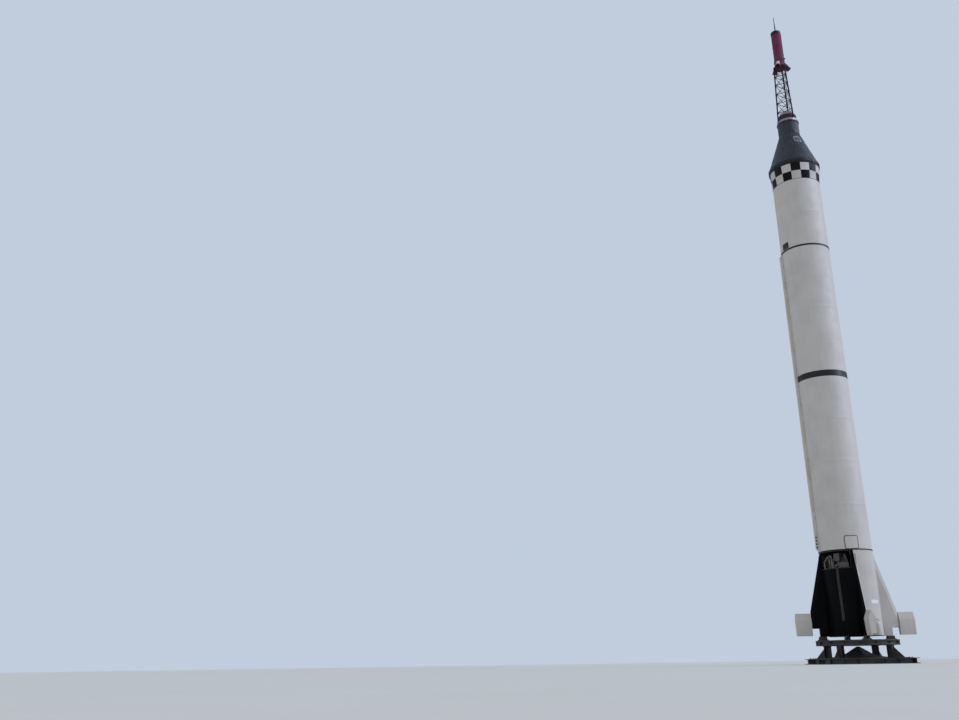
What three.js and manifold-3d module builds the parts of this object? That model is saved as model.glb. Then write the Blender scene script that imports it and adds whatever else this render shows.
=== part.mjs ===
// A crewed suborbital rocket with a red escape tower, standing on its launch table.
// Millimetres, +Z up. The origin is the centre of the launch table's underside.
// An azimuth is counted in degrees from -Y towards +X, so a piece drawn pointing
// to -Y and turned by it about Z faces that way.

import * as THREE from 'three';
import { mergeVertices } from 'three/addons/utils/BufferGeometryUtils.js';
import Module from 'manifold-3d';

const wasm = await Module();
wasm.setup();

// Driving dimensions of the whole vehicle
const STAND_HEIGHT = 900;
const BODY_R = 889;
const SKIN = 25;
const GAP = 0.3;
const ROUND = 48;

// Stations above the rocket's base
const TAIL_TOP = 2840;
const JOINT_TOP = 2862;
const BAND_BOTTOM = 9090;
const BAND_TOP = 9320;
const SEPARATION_BOTTOM = 14340;
const SEPARATION_TOP = 14380;
const ADAPTER_BOTTOM = 17195;
const ADAPTER_TOP = 17880;
const CAPSULE_BOTTOM = 18080;
const CONE_TOP = 19550;
const RECOVERY_TOP = 20140;
const TOWER_RING_TOP = 20230;
const TOWER_TOP = 22850;
const MOTOR_BOTTOM = 23150;
const MOTOR_TOP = 24560;
const CAP_TOP = 24730;
const SPIKE_TOP = 25410;

// Fins, rudders and jet vanes
const FIN_AZIMUTHS = [0, 90, 180, 270];
const FIN_TIP_R = 1450;
const FIN_TIP_TOP = 830;
const FIN_THICK = 120;
const FIN_BEVEL = 110;
const FIN_EDGE = 16;
const FIN_NOTCH = { width: 240, height: 270 };
const RUDDER_GAP = 15;
const RUDDER_TIP_R = 1980;
const RUDDER_BOTTOM = 30;
const RUDDER_TOP = 780;
const RUDDER_THICK = 220;
const RUDDER_BEVEL = 240;
const RUDDER_AXIS_Z = 450;
const STUB_R = 38;
const VANE_AXIS_Z = 225;
const VANE_HALF_CHORD = 150;
const VANE_INNER_R = 150;
const VANE_OUTER_R = 400;
const VANE_THICK = 36;
const SHAFT_R = 28;
const BOSS = { inner: 800, width: 130, height: 130 };
const COVER = { azimuth: 36, footR: 190, neckR: 140, shoulder: 350 };

// Engine, its bay and the plates that close it
const NOZZLE_EXIT_Z = 450;
const NOZZLE_EXIT_R = 385;
const THROAT_Z = 1250;
const THROAT_R = 140;
const NOZZLE_WALL = 22;
const HOOP = { heights: [200, 360, 520, 660], half: 18, proud: 9 };
const MANIFOLD = { centre: 411, rise: 40, wide: 24, tall: 30 };
const FEED = { count: 6, first: 30, r: 12 };
const CHAMBER_R = 250;
const CHAMBER_TOP = 1450;
const COLLAR_R = 400;
const SHIELD_BOTTOM = 750;
const SHIELD_TOP = 790;
const FEED_LINE = [
  [MANIFOLD.centre, NOZZLE_EXIT_Z + MANIFOLD.rise], [418, NOZZLE_EXIT_Z + 130],
  [396, SHIELD_BOTTOM - 50], [378, SHIELD_BOTTOM + 20],
];
const ENGINE_R = 330;
const BAY = { from: -85, to: -8, bottom: 2250, top: 2800, floor: 30 };
const CONDUIT = { azimuth: -38, bottom: 480, top: 2230, r: 17, saddles: 5 };

// Capsule
const CAPSULE_R = 946;
const RECOVERY_R = 410;
const CAPSULE_WALL = 43;
const CABIN_FLOOR = 18140;
const CABIN_TOP = 19420;
const HATCH = { azimuth: 62, bottom: 18430, top: 19180, lowWidth: 600, highWidth: 400 };
const WINDOW = { azimuth: 15, bottom: 19000, top: 19300, lowWidth: 320, highWidth: 230 };
const SEAM = 0.4;
const SHINGLE = { rows: 4, lap: 4 };

// Escape tower
const LEG_AZIMUTHS = [-90, 30, 150];
const LEG_BASE_R = 362;
const LEG_TOP_R = 248;
const LEG_TUBE_R = 28;
const BRACE_TUBE_R = 13;
const CROSS_R = 10;
const TOWER_LEVELS = [20690, 21130, 21570, 22010, 22410, 22780];
const TOWER_HOOP = { bottom: 20262, top: 20450 };
const MOTOR_R = 200;
const MOTOR_BAND = { heights: [60, 720, 1350], half: 22, proud: 6 };
const MOTOR_LEAD = { azimuth: 70, r: 11, clips: 3, clipHalf: 22, clipProud: 12 };
const MOTOR_LUG = { half: 28, proud: 44, bottom: 76, top: 124 };
const ESCAPE_AZIMUTHS = [90, -30, -150];

// Launch table
const TABLE_HALF = 1480;
const BEAM = { width: 210, height: 180, flange: 18, web: 14 };
const WEB_PLATES = [-840, -420, 420, 840];
const COLUMN = { inner: 1050, outer: 1240, width: 170, flange: 12, cap: 18, lip: 15 };
const GUSSET = { run: 380, drop: 60, thick: 20 };
const FOOT = { inner: 1000, outer: 1860, width: 220, bottom: 2, top: 184 };
const TABLE_RING = { inner: 930, outer: 1350, bottom: 600, top: 770, flange: 40, recess: 60, webs: 16 };
const PAD = { inner: 1000, outer: 1250, foot: 28, saddle: 24, cheek: 18, half: 75, screwR: 38 };

// Finishes: colour, roughness and metalness
const FINISHES = {
  white: { color: 0xd4d5d2, roughness: 0.45, metalness: 0.0 },
  black: { color: 0x1c1e21, roughness: 0.5, metalness: 0.0 },
  shingle: { color: 0x2b2f36, roughness: 0.5, metalness: 0.4 },
  red: { color: 0x9b2335, roughness: 0.45, metalness: 0.0 },
  bare: { color: 0x9a9c9e, roughness: 0.35, metalness: 0.9 },
  steel: { color: 0x3a3a3a, roughness: 0.6, metalness: 0.5 },
  graphite: { color: 0x2e2e30, roughness: 0.7, metalness: 0.1 },
  fabric: { color: 0x6b6f6a, roughness: 0.9, metalness: 0.0 },
  glass: { color: 0x8fa3ad, roughness: 0.05, metalness: 0.0 },
};

const turn = THREE.MathUtils.degToRad;
const mix = THREE.MathUtils.lerp;

// Solid from a closed geometry: shared corners merged, flat slivers dropped
function solid(geometry) {
  const plain = geometry.clone();
  plain.deleteAttribute('normal');
  plain.deleteAttribute('uv');
  const merged = mergeVertices(plain, 1e-3);
  const index = merged.getIndex().array;
  const corners = [];
  for (let i = 0; i < index.length; i += 3) {
    const [a, b, c] = [index[i], index[i + 1], index[i + 2]];
    if (a !== b && b !== c && c !== a) corners.push(a, b, c);
  }
  return new wasm.Manifold(new wasm.Mesh({
    numProp: 3,
    vertProperties: Float32Array.from(merged.getAttribute('position').array),
    triVerts: Uint32Array.from(corners),
  }));
}

// Geometry from a solid, with flat shading normals
function geometryOf(body) {
  const mesh = body.getMesh();
  const geometry = new THREE.BufferGeometry();
  geometry.setAttribute('position', new THREE.BufferAttribute(mesh.vertProperties, 3));
  geometry.setIndex(new THREE.BufferAttribute(mesh.triVerts, 1));
  const flat = geometry.toNonIndexed();
  flat.computeVertexNormals();
  return flat;
}

// Turned shape from [radius, height] points, listed from the bottom up on the outside
function turned(profile, segments = ROUND) {
  const points = profile.map(([r, z]) => new THREE.Vector2(r, z));
  return new THREE.LatheGeometry(points, segments).rotateX(Math.PI / 2);
}

// Solid disc or drum between two heights
function drum(r, bottom, top, segments = ROUND) {
  return turned([[0, bottom], [r, bottom], [r, top], [0, top]], segments);
}

// Ring of rectangular section
function ring(inner, outer, bottom, top, segments = ROUND) {
  return turned([[inner, bottom], [outer, bottom], [outer, top], [inner, top], [inner, bottom]], segments);
}

// Part of a ring between two azimuths
function sector(inner, outer, bottom, top, from, to, steps = 14) {
  const shape = new THREE.Shape();
  shape.absarc(0, 0, outer, turn(from - 90), turn(to - 90), false);
  shape.absarc(0, 0, inner, turn(to - 90), turn(from - 90), true);
  const options = { depth: top - bottom, bevelEnabled: false, curveSegments: steps };
  return new THREE.ExtrudeGeometry(shape, options).translate(0, 0, bottom);
}

// Outline of [x, y] points, carried upwards
function upright(outline, bottom, top) {
  const shape = new THREE.Shape(outline.map(([x, y]) => new THREE.Vector2(x, y)));
  const geometry = new THREE.ExtrudeGeometry(shape, { depth: top - bottom, bevelEnabled: false });
  return geometry.translate(0, 0, bottom);
}

// Outline of [x, z] points in a vertical plane, carried along -Y from near to far
function slab(outline, near, far) {
  const shape = new THREE.Shape(outline.map(([x, z]) => new THREE.Vector2(x, z)));
  const geometry = new THREE.ExtrudeGeometry(shape, { depth: far - near, bevelEnabled: false });
  return geometry.rotateX(Math.PI / 2).translate(0, -near, 0);
}

// Outline of [radius, height] points in the radial plane facing -Y, centred on it
function plate(outline, thickness) {
  const shape = new THREE.Shape(outline.map(([r, z]) => new THREE.Vector2(r, z)));
  const geometry = new THREE.ExtrudeGeometry(shape, { depth: thickness, bevelEnabled: false });
  return geometry.rotateX(Math.PI / 2).rotateZ(-Math.PI / 2).translate(thickness / 2, 0, 0);
}

// Box given by its corners
function block([x0, y0, z0], [x1, y1, z1]) {
  const box = new THREE.BoxGeometry(x1 - x0, y1 - y0, z1 - z0);
  return box.translate((x0 + x1) / 2, (y0 + y1) / 2, (z0 + z1) / 2);
}

// Point at an azimuth, a radius and a height
function place(azimuth, r, z) {
  return new THREE.Vector3(r * Math.sin(turn(azimuth)), -r * Math.cos(turn(azimuth)), z);
}

// Straight round bar between two points
function bar(from, to, rFrom, rTo = rFrom, sides = 6) {
  const way = new THREE.Vector3().subVectors(to, from);
  const geometry = new THREE.CylinderGeometry(rTo, rFrom, way.length(), sides);
  const swing = new THREE.Quaternion();
  swing.setFromUnitVectors(new THREE.Vector3(0, 1, 0), way.clone().normalize());
  geometry.applyQuaternion(swing);
  const middle = new THREE.Vector3().addVectors(from, to).multiplyScalar(0.5);
  return geometry.translate(middle.x, middle.y, middle.z);
}

// Pipe of round section along a smooth curve through points
function pipe(points, r, steps = 9, sides = 3) {
  const section = new THREE.Shape().absarc(0, 0, r, 0, 2 * Math.PI, false);
  const path = new THREE.CatmullRomCurve3(points);
  const options = { steps, extrudePath: path, bevelEnabled: false, curveSegments: sides };
  return new THREE.ExtrudeGeometry(section, options);
}

// Several solids joined into one
function joined(geometries) {
  return geometries.map(solid).reduce((whole, next) => whole.add(next));
}

// Piece that stands on the body's skin: its root is cut to the skin, a hair clear of it
const skinTool = solid(drum(BODY_R + GAP, -50, ADAPTER_BOTTOM));
function onSkin(geometries, azimuth = 0) {
  const whole = joined(geometries.map((geometry) => geometry.rotateZ(turn(azimuth))));
  return geometryOf(whole.subtract(skinTool));
}
const ROOT_DEPTH = 12;

const table = new THREE.Group();
const rocket = new THREE.Group();
rocket.position.z = STAND_HEIGHT;

// Adds a named piece to a group, turned to its azimuth
function piece(group, name, geometry, finish, azimuth = 0) {
  const mesh = new THREE.Mesh(geometry, new THREE.MeshStandardMaterial(FINISHES[finish]));
  mesh.name = name;
  mesh.rotation.z = turn(azimuth);
  group.add(mesh);
}

// Outline of a rolled beam of I section between two heights, its web upright
function beamOutline(width, bottom, top) {
  const [half, web] = [width / 2, BEAM.web / 2];
  const [low, high] = [bottom + BEAM.flange, top - BEAM.flange];
  return [
    [-half, bottom], [half, bottom], [half, low], [web, low], [web, high], [half, high],
    [half, top], [-half, top], [-half, high], [-web, high], [-web, low], [-half, low],
  ];
}

// Beams that run to -Y and beams that run to +X, the second lot a hair lower in height
const BEAM_LOTS = [
  { azimuth: 0, bottom: 0, top: BEAM.height, sideReach: TABLE_HALF },
  { azimuth: 90, bottom: 1, top: BEAM.height - 1.5, sideReach: TABLE_HALF - BEAM.width / 2 },
];

// Four side beams with web plates and two crossed beams between their webs
function tableBeams() {
  const centre = TABLE_HALF - BEAM.width / 2;
  const parts = [];
  for (const { azimuth, bottom, top, sideReach } of BEAM_LOTS) {
    for (const x of [-centre, 0, centre]) {
      const along = x ? sideReach : centre;
      const beam = slab(beamOutline(BEAM.width, bottom, top), -along, along).translate(x, 0, 0);
      parts.push(beam.rotateZ(turn(azimuth)));
    }
  }
  const edge = BEAM.width / 2 - 8;
  const [low, high] = [BEAM.flange - 2, BEAM.height - BEAM.flange + 2];
  for (const azimuth of [0, 90, 180, 270]) {
    for (const x of WEB_PLATES) {
      const webPlate = block([x - 5, -centre - edge, low], [x + 5, -centre + edge, high]);
      parts.push(webPlate.rotateZ(turn(azimuth)));
    }
  }
  return parts;
}

// Foot beam, column and gusset at one corner of the table
function tableCorner(azimuth) {
  const top = TABLE_RING.bottom - GAP;
  const { inner, outer, width, flange, cap, lip } = COLUMN;
  const [half, web] = [width / 2, BEAM.web / 2];
  const outline = [
    [-half, -outer], [half, -outer], [half, -outer + flange], [web, -outer + flange],
    [web, -inner - flange], [half, -inner - flange], [half, -inner], [-half, -inner],
    [-half, -inner - flange], [-web, -inner - flange], [-web, -outer + flange], [-half, -outer + flange],
  ];
  return [
    slab(beamOutline(FOOT.width, FOOT.bottom, FOOT.top), FOOT.inner, FOOT.outer),
    block([-half - lip, -outer - lip, BEAM.height - 2], [half + lip, -inner + lip, BEAM.height + cap]),
    block([-half - lip, -outer - lip, top - cap], [half + lip, -inner + lip, top]),
    upright(outline, BEAM.height, top - 2),
    plate([
      [outer - 8, BEAM.height - 5], [outer + GUSSET.run, BEAM.height - 5], [outer - 8, top - GUSSET.drop],
    ], GUSSET.thick),
  ].map((part) => part.rotateZ(turn(azimuth)));
}

// Launch table: a square frame of beams with four columns, joined
function tableFrame() {
  return geometryOf(joined([...tableBeams(), ...[45, 135, 225, 315].flatMap(tableCorner)]));
}

// Turntable ring of channel section, with upright webs in the channel
function tableRing() {
  const { inner, outer, bottom, top, flange, recess, webs } = TABLE_RING;
  const parts = [turned([
    [inner, bottom], [outer, bottom], [outer, bottom + flange], [outer - recess, bottom + flange],
    [outer - recess, top - flange], [outer, top - flange], [outer, top], [inner, top], [inner, bottom],
  ])];
  for (let i = 0; i < webs; i += 1) {
    const web = block([-6, -outer + 8, bottom + flange - 2], [6, -outer + recess + 6, top - flange + 2]);
    parts.push(web.rotateZ(turn((i + 0.5) * 360 / webs)));
  }
  return geometryOf(joined(parts));
}

// Pad under a fin root: a foot, two cheeks and a screw spindle between them, under a saddle
function tablePad() {
  const low = TABLE_RING.top + GAP;
  const high = STAND_HEIGHT - GAP;
  const { inner, outer, foot, saddle, cheek, half, screwR } = PAD;
  const parts = [
    block([-120, -outer - 40, low], [120, -inner + 40, low + foot]),
    block([-half, -outer, high - saddle], [half, -inner, high]),
    drum(screwR, low + foot - 5, high - saddle + 5, 12).translate(0, -(inner + outer) / 2, 0),
  ];
  for (const x of [-half, half - cheek]) {
    parts.push(block([x, -outer + 2, low + foot - 5], [x + cheek, -inner - 2, high - saddle + 5]));
  }
  return geometryOf(joined(parts));
}

// Pyramid that turns the exhaust out to four sides
function deflector() {
  const low = BEAM.height + GAP;
  return turned([
    [0, low], [1000, low], [1000, low + 20], [600, low + 90],
    [280, low + 240], [40, low + 380], [0, low + 380],
  ], 4);
}

piece(table, 'stand_base_frame', tableFrame(), 'steel');
piece(table, 'flame_deflector', deflector(), 'steel');
piece(table, 'stand_ring', tableRing(), 'steel');
FIN_AZIMUTHS.forEach((azimuth, i) => piece(table, `stand_pad_${i + 1}`, tablePad(), 'steel', azimuth));

// Tail skin: open below, with an open service bay and bosses for the vane shafts
function tailShell() {
  const inner = BODY_R - SKIN;
  let shell = solid(ring(inner, BODY_R, 0, TAIL_TOP));
  shell = shell.subtract(solid(sector(inner - 60, BODY_R + 60, BAY.bottom, BAY.top, BAY.from, BAY.to)));
  for (const azimuth of FIN_AZIMUTHS) {
    const low = VANE_AXIS_Z - BOSS.height / 2;
    const boss = block([-BOSS.width / 2, -inner - 8, low], [BOSS.width / 2, -BOSS.inner, low + BOSS.height]);
    shell = shell.add(solid(boss.rotateZ(turn(azimuth))));
  }
  return geometryOf(shell);
}

// Inner radius of the bell at a height
function bellR(z) {
  const t = (z - NOZZLE_EXIT_Z) / (THROAT_Z - NOZZLE_EXIT_Z);
  return THROAT_R + (NOZZLE_EXIT_R - THROAT_R) * Math.sin((1 - t) * Math.PI / 2) ** 0.85;
}

// Bell of the engine below its chamber, hollow up to the throat, with hoops, manifold and feed pipes
function nozzle() {
  const steps = 5;
  const levels = Array.from({ length: steps + 1 }, (_, i) => mix(NOZZLE_EXIT_Z, THROAT_Z, i / steps));
  const wall = levels.map((z) => [bellR(z), z]);
  const outside = [[NOZZLE_EXIT_R + NOZZLE_WALL, NOZZLE_EXIT_Z]];
  for (const height of HOOP.heights) {
    for (const [side, proud] of [[-1, 0], [0, HOOP.proud], [1, 0]]) {
      const z = NOZZLE_EXIT_Z + height + side * HOOP.half;
      outside.push([bellR(z) + NOZZLE_WALL + proud, z]);
    }
  }
  const chamber = [
    [THROAT_R + NOZZLE_WALL, THROAT_Z], [CHAMBER_R, THROAT_Z + 90],
    [CHAMBER_R, CHAMBER_TOP], [0, CHAMBER_TOP],
  ];
  const bell = turned([[0, THROAT_Z], ...wall.slice().reverse(), ...outside, ...chamber], 24);
  const collar = ring(THROAT_R + 100, COLLAR_R, SHIELD_BOTTOM, SHIELD_TOP);
  const hollow = turned([[0, NOZZLE_EXIT_Z], ...wall, [0, THROAT_Z]], 24);
  const corners = 6;
  const manifold = turned(Array.from({ length: corners + 1 }, (_, i) => [
    MANIFOLD.centre + MANIFOLD.wide * Math.cos(i * 2 * Math.PI / corners),
    NOZZLE_EXIT_Z + MANIFOLD.rise + MANIFOLD.tall * Math.sin(i * 2 * Math.PI / corners),
  ]), 24);
  const feeds = Array.from({ length: FEED.count }, (_, i) => {
    const azimuth = FEED.first + i * 360 / FEED.count;
    return pipe(FEED_LINE.map(([r, z]) => place(azimuth, r, z)), FEED.r, 4, 2);
  });
  return geometryOf(joined([collar, manifold, ...feeds]).subtract(solid(hollow)).add(solid(bell)));
}

// Pressure bottle with a domed top, standing at a place in the bay
function bottle(azimuth, reach, r, height, segments) {
  const shape = turned([
    [0, 0], [r, 0], [r, height - r * 0.9], [r * 0.7, height - r * 0.3],
    [r * 0.25, height - 35], [r * 0.2, height], [0, height],
  ], segments);
  const foot = place(azimuth, reach, BAY.bottom + GAP + 8);
  return shape.translate(foot.x, foot.y, foot.z);
}

// Small pipes in the bay: azimuth, radius and height of the upper part, drift in azimuth and radius
const BAY_PIPES = [
  { azimuth: -49, r: 800, height: 300, drift: 2.5, sink: 0 },
  { azimuth: -64, r: 740, height: 280, drift: -3, sink: 40 },
  { azimuth: -27, r: 720, height: 420, drift: 4, sink: -80 },
  { azimuth: -14, r: 780, height: 360, drift: -3, sink: 0 },
  { azimuth: -75, r: 700, height: 440, drift: 3, sink: -50 },
];

// Pipe flanges on the bay's base plate: azimuth, distance from the axis, radius
const BAY_FLANGES = [[-80, 790, 52], [-53, 780, 42], [-60, 780, 42]];

// Main forms of the plumbing in the open bay, all on one base plate
function bayPlumbing() {
  const low = BAY.bottom + GAP;
  const parts = [
    sector(430, 850, low, low + 14, BAY.from + 3, BAY.to - 3),
    sector(560, 800, low + 10, low + 188, -36, -12, 6),
    sector(620, 770, low + 240, low + 490, -47, -33, 4),
    sector(600, 776, low + 482, low + 500, -47.6, -32.4, 4),
    sector(640, 700, low + 10, low + 260, -43, -37, 3),
    bottle(-20, 520, 70, 500, 12),
    bottle(-72, 560, 110, 420, 16),
    pipe([
      place(-53, 780, low + 5), place(-53, 785, low + 330), place(-56.5, 785, low + 434),
      place(-60, 785, low + 330), place(-60, 780, low + 5),
    ], 26, 12),
    pipe([
      place(-80, 790, low + 5), place(-79, 800, low + 240), place(-73, 760, low + 340),
      place(-68, 700, low + 420), place(-66, 600, low + 400),
    ], 34, 10),
    pipe([
      place(-32, 700, low + 100), place(-40, 710, low + 110),
      place(-46, 720, low + 70), place(-50, 720, low + 5),
    ], 50, 6),
  ];
  for (const { azimuth, r, height, drift, sink } of BAY_PIPES) {
    parts.push(pipe([
      place(azimuth, r, low + 8), place(azimuth, r, low + height * 0.6),
      place(azimuth + drift, r + sink, low + height), place(azimuth + 2 * drift, r + sink, low + height + 40),
    ], 11, 6, 2));
  }
  for (const [azimuth, reach, r] of BAY_FLANGES) {
    parts.push(bar(place(azimuth, reach, low + 8), place(azimuth, reach, low + 30), r, r, 10));
  }
  const below = solid(drum(BODY_R, BAY.bottom - 100, low));
  return geometryOf(joined(parts).subtract(below));
}

// Half-round cover on the tail's skin, wider at its foot, with a domed top
function tailCover(azimuth) {
  const { footR, neckR, shoulder } = COVER;
  const body = turned([
    [0, 0], [footR, 0], [neckR, shoulder], [neckR * 0.87, shoulder + neckR * 0.5],
    [neckR * 0.5, shoulder + neckR * 0.87], [0, shoulder + neckR],
  ], 20);
  return onSkin([body.translate(0, -BODY_R + ROOT_DEPTH, 0)], azimuth);
}

// Conduit down the tail's skin, slightly bent, held by saddles
function tailConduit() {
  const { azimuth, bottom, top, r, saddles } = CONDUIT;
  const bends = [[0.4, 0], [0.2, 500], [-0.3, 1100], [0, 1600], [0, top - bottom]];
  const parts = [pipe(bends.map(([swing, rise]) => place(swing, BODY_R + 14, bottom + rise)), r, 8, 2)];
  for (let i = 0; i < saddles; i += 1) {
    const z = mix(bottom + 120, top - 120, i / (saddles - 1));
    parts.push(block([-34, -BODY_R - 33, z - 11], [34, -BODY_R + ROOT_DEPTH, z + 11]));
  }
  return onSkin(parts, azimuth);
}

piece(rocket, 'tail_shell', tailShell(), 'white');
piece(rocket, 'nozzle', nozzle(), 'bare');
const INSIDE_R = BODY_R - SKIN - 2 * GAP;
piece(rocket, 'base_heat_shield', ring(COLLAR_R + GAP, INSIDE_R, SHIELD_BOTTOM, SHIELD_TOP), 'steel');
piece(rocket, 'engine_block', drum(ENGINE_R, CHAMBER_TOP + GAP, BAY.bottom - BAY.floor - GAP, 32), 'steel');
piece(rocket, 'bay_floor', drum(INSIDE_R, BAY.bottom - BAY.floor, BAY.bottom), 'black');
piece(rocket, 'bay_plumbing', bayPlumbing(), 'bare');
piece(rocket, 'tail_cover_1', tailCover(COVER.azimuth), 'white');
piece(rocket, 'tail_cover_2', tailCover(COVER.azimuth + 180), 'white');
piece(rocket, 'tail_conduit', tailConduit(), 'steel');

// Fin: a swept plate with a bevelled leading edge and a notch below its tip
function fin() {
  const { width, height } = FIN_NOTCH;
  const root = BODY_R - ROOT_DEPTH;
  const outline = [
    [root, 0], [FIN_TIP_R - width, 0], [FIN_TIP_R - width, height], [FIN_TIP_R, height],
    [FIN_TIP_R, FIN_TIP_TOP], [BODY_R, TAIL_TOP], [root, TAIL_TOP],
  ];
  let body = solid(plate(outline, FIN_THICK));
  const low = new THREE.Vector3(0, -FIN_TIP_R, FIN_TIP_TOP);
  const high = new THREE.Vector3(0, -BODY_R, TAIL_TOP);
  const along = new THREE.Vector3().subVectors(high, low).normalize();
  const inward = new THREE.Vector3(0, along.z, -along.y);
  for (const side of [-1, 1]) {
    const rise = (FIN_THICK - FIN_EDGE) / 2;
    const across = inward.clone().multiplyScalar(FIN_BEVEL).setX(side * rise).normalize();
    const out = new THREE.Vector3().crossVectors(along, across).multiplyScalar(-side);
    if (out.x * side < 0) out.multiplyScalar(-1);
    const cutter = new THREE.BoxGeometry(2, 2, 2).scale(1600, 500, 150);
    const basis = new THREE.Matrix4().makeBasis(along, new THREE.Vector3().crossVectors(out, along), out);
    const centre = new THREE.Vector3().addVectors(low, high).multiplyScalar(0.5);
    centre.add(new THREE.Vector3(side * FIN_EDGE / 2, 0, 0)).add(out.clone().multiplyScalar(150));
    cutter.applyMatrix4(basis.setPosition(centre));
    body = body.subtract(solid(cutter));
  }
  return geometryOf(body.subtract(skinTool));
}

// Rudder beyond the fin's tip, with its stub shaft towards the fin
function rudder() {
  const half = RUDDER_THICK / 2;
  const outline = [
    [-half * 0.75, RUDDER_BOTTOM], [half * 0.75, RUDDER_BOTTOM], [half, RUDDER_TOP - RUDDER_BEVEL],
    [10, RUDDER_TOP], [-10, RUDDER_TOP], [-half, RUDDER_TOP - RUDDER_BEVEL],
  ];
  const blade = slab(outline, FIN_TIP_R + RUDDER_GAP, RUDDER_TIP_R);
  const near = new THREE.Vector3(0, -FIN_TIP_R - GAP, RUDDER_AXIS_Z);
  const far = new THREE.Vector3(0, -FIN_TIP_R - RUDDER_GAP - 30, RUDDER_AXIS_Z);
  return geometryOf(joined([blade, bar(near, far, STUB_R, STUB_R, 16)]));
}

// Jet vane in the exhaust, with its shaft out to the boss on the skin
function vane() {
  const half = VANE_THICK / 2;
  const [low, high] = [VANE_AXIS_Z - VANE_HALF_CHORD, VANE_AXIS_Z + VANE_HALF_CHORD];
  const widest = VANE_AXIS_Z + 40;
  const outline = [[-6, low], [6, low], [half, widest], [8, high], [-8, high], [-half, widest]];
  const blade = slab(outline, VANE_INNER_R, VANE_OUTER_R);
  const near = new THREE.Vector3(0, -VANE_OUTER_R + 60, VANE_AXIS_Z);
  const far = new THREE.Vector3(0, -BOSS.inner + GAP, VANE_AXIS_Z);
  return geometryOf(joined([blade, bar(near, far, SHAFT_R, SHAFT_R, 16)]));
}

FIN_AZIMUTHS.forEach((azimuth, i) => {
  piece(rocket, `fin_${i + 1}`, fin(), 'white', azimuth);
  piece(rocket, `rudder_${i + 1}`, rudder(), 'white', azimuth);
  piece(rocket, `jet_vane_${i + 1}`, vane(), 'graphite', azimuth);
});

// Body sections above the tail: name, radius, bottom, top, finish
const SECTIONS = [
  { name: 'tail_joint_ring', r: BODY_R - 9, bottom: TAIL_TOP, top: JOINT_TOP, finish: 'black' },
  { name: 'lower_tank', r: BODY_R, bottom: JOINT_TOP, top: BAND_BOTTOM, finish: 'white' },
  { name: 'middle_band', r: BODY_R, bottom: BAND_BOTTOM, top: BAND_TOP, finish: 'black' },
  { name: 'upper_tank', r: BODY_R, bottom: BAND_TOP, top: SEPARATION_BOTTOM, finish: 'white' },
  { name: 'separation_ring', r: BODY_R - 9, bottom: SEPARATION_BOTTOM, top: SEPARATION_TOP, finish: 'black' },
  { name: 'instrument_section', r: BODY_R, bottom: SEPARATION_TOP, top: ADAPTER_BOTTOM, finish: 'white' },
];
for (const { name, r, bottom, top, finish } of SECTIONS) {
  piece(rocket, name, drum(r, bottom + GAP, top), finish);
}

const ADAPTER_TOP_R = 945;
piece(rocket, 'adapter', turned([
  [0, ADAPTER_BOTTOM + GAP], [BODY_R, ADAPTER_BOTTOM + GAP], [ADAPTER_TOP_R, ADAPTER_TOP], [0, ADAPTER_TOP],
]), 'white');

// Clamp over the joint of adapter and capsule: a ring with twelve shoes
const CLAMP = { r: 980, depth: 16, shoes: 12, margin: 1.2, bottom: 50, top: 160 };
function clampRing() {
  const { r, depth, shoes, margin, bottom, top } = CLAMP;
  const parts = [turned([
    [0, ADAPTER_TOP + GAP], [ADAPTER_TOP_R, ADAPTER_TOP + GAP], [r - depth, ADAPTER_TOP + bottom],
    [r - depth, ADAPTER_TOP + top], [CAPSULE_R, CAPSULE_BOTTOM - GAP], [0, CAPSULE_BOTTOM - GAP],
  ])];
  for (let i = 0; i < shoes; i += 1) {
    const [from, to] = [i * 360 / shoes + margin, (i + 1) * 360 / shoes - margin];
    parts.push(sector(r - depth - 8, r, ADAPTER_TOP + bottom - 6, ADAPTER_TOP + top + 6, from, to, 2));
  }
  return geometryOf(joined(parts));
}
piece(rocket, 'clamp_ring', clampRing(), 'black');

// Cable tunnel up the left side, with sloping ends and straps that hold it to the skin
const TUNNEL = { width: 110, proud: 100, slope: 90, straps: 16, strapWidth: 170, strapProud: 9 };
function cableTunnel() {
  const { width, proud, slope, straps, strapWidth, strapProud } = TUNNEL;
  const [low, high] = [JOINT_TOP + 20, SEPARATION_BOTTOM - 20];
  const root = BODY_R - ROOT_DEPTH;
  const parts = [plate([
    [root, low], [BODY_R + 12, low], [BODY_R + proud, low + slope],
    [BODY_R + proud, high - slope], [BODY_R + 12, high], [root, high],
  ], width)];
  for (let i = 0; i < straps; i += 1) {
    const z = mix(low + 500, high - 500, i / (straps - 1));
    parts.push(block([-strapWidth / 2, -BODY_R - strapProud, z - 20], [strapWidth / 2, -root, z + 20]));
  }
  return onSkin(parts, -90);
}
piece(rocket, 'cable_tunnel', cableTunnel(), 'white');

// Access panel and port plate, curved with the skin
const PLATE_PROUD = 10;
function skinPlate(bottom, top, from, to) {
  return onSkin([sector(BODY_R - ROOT_DEPTH, BODY_R + PLATE_PROUD, bottom, top, from, to, 4)]);
}
piece(rocket, 'access_panel', skinPlate(2880, 3300, -13.5, 13.5), 'white');
piece(rocket, 'port_plate', skinPlate(14405, 14655, -76, -55), 'black');

// Radius of the capsule's cone at a height, inset by a wall
function coneR(z, inset = 0) {
  return mix(CAPSULE_R, RECOVERY_R, (z - CAPSULE_BOTTOM) / (CONE_TOP - CAPSULE_BOTTOM)) - inset;
}

// Solid cone frustum that follows the capsule's side, inset by a wall
function coneBody(bottom, top, inset) {
  return solid(turned([[0, bottom], [coneR(bottom, inset), bottom], [coneR(top, inset), top], [0, top]]));
}

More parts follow.
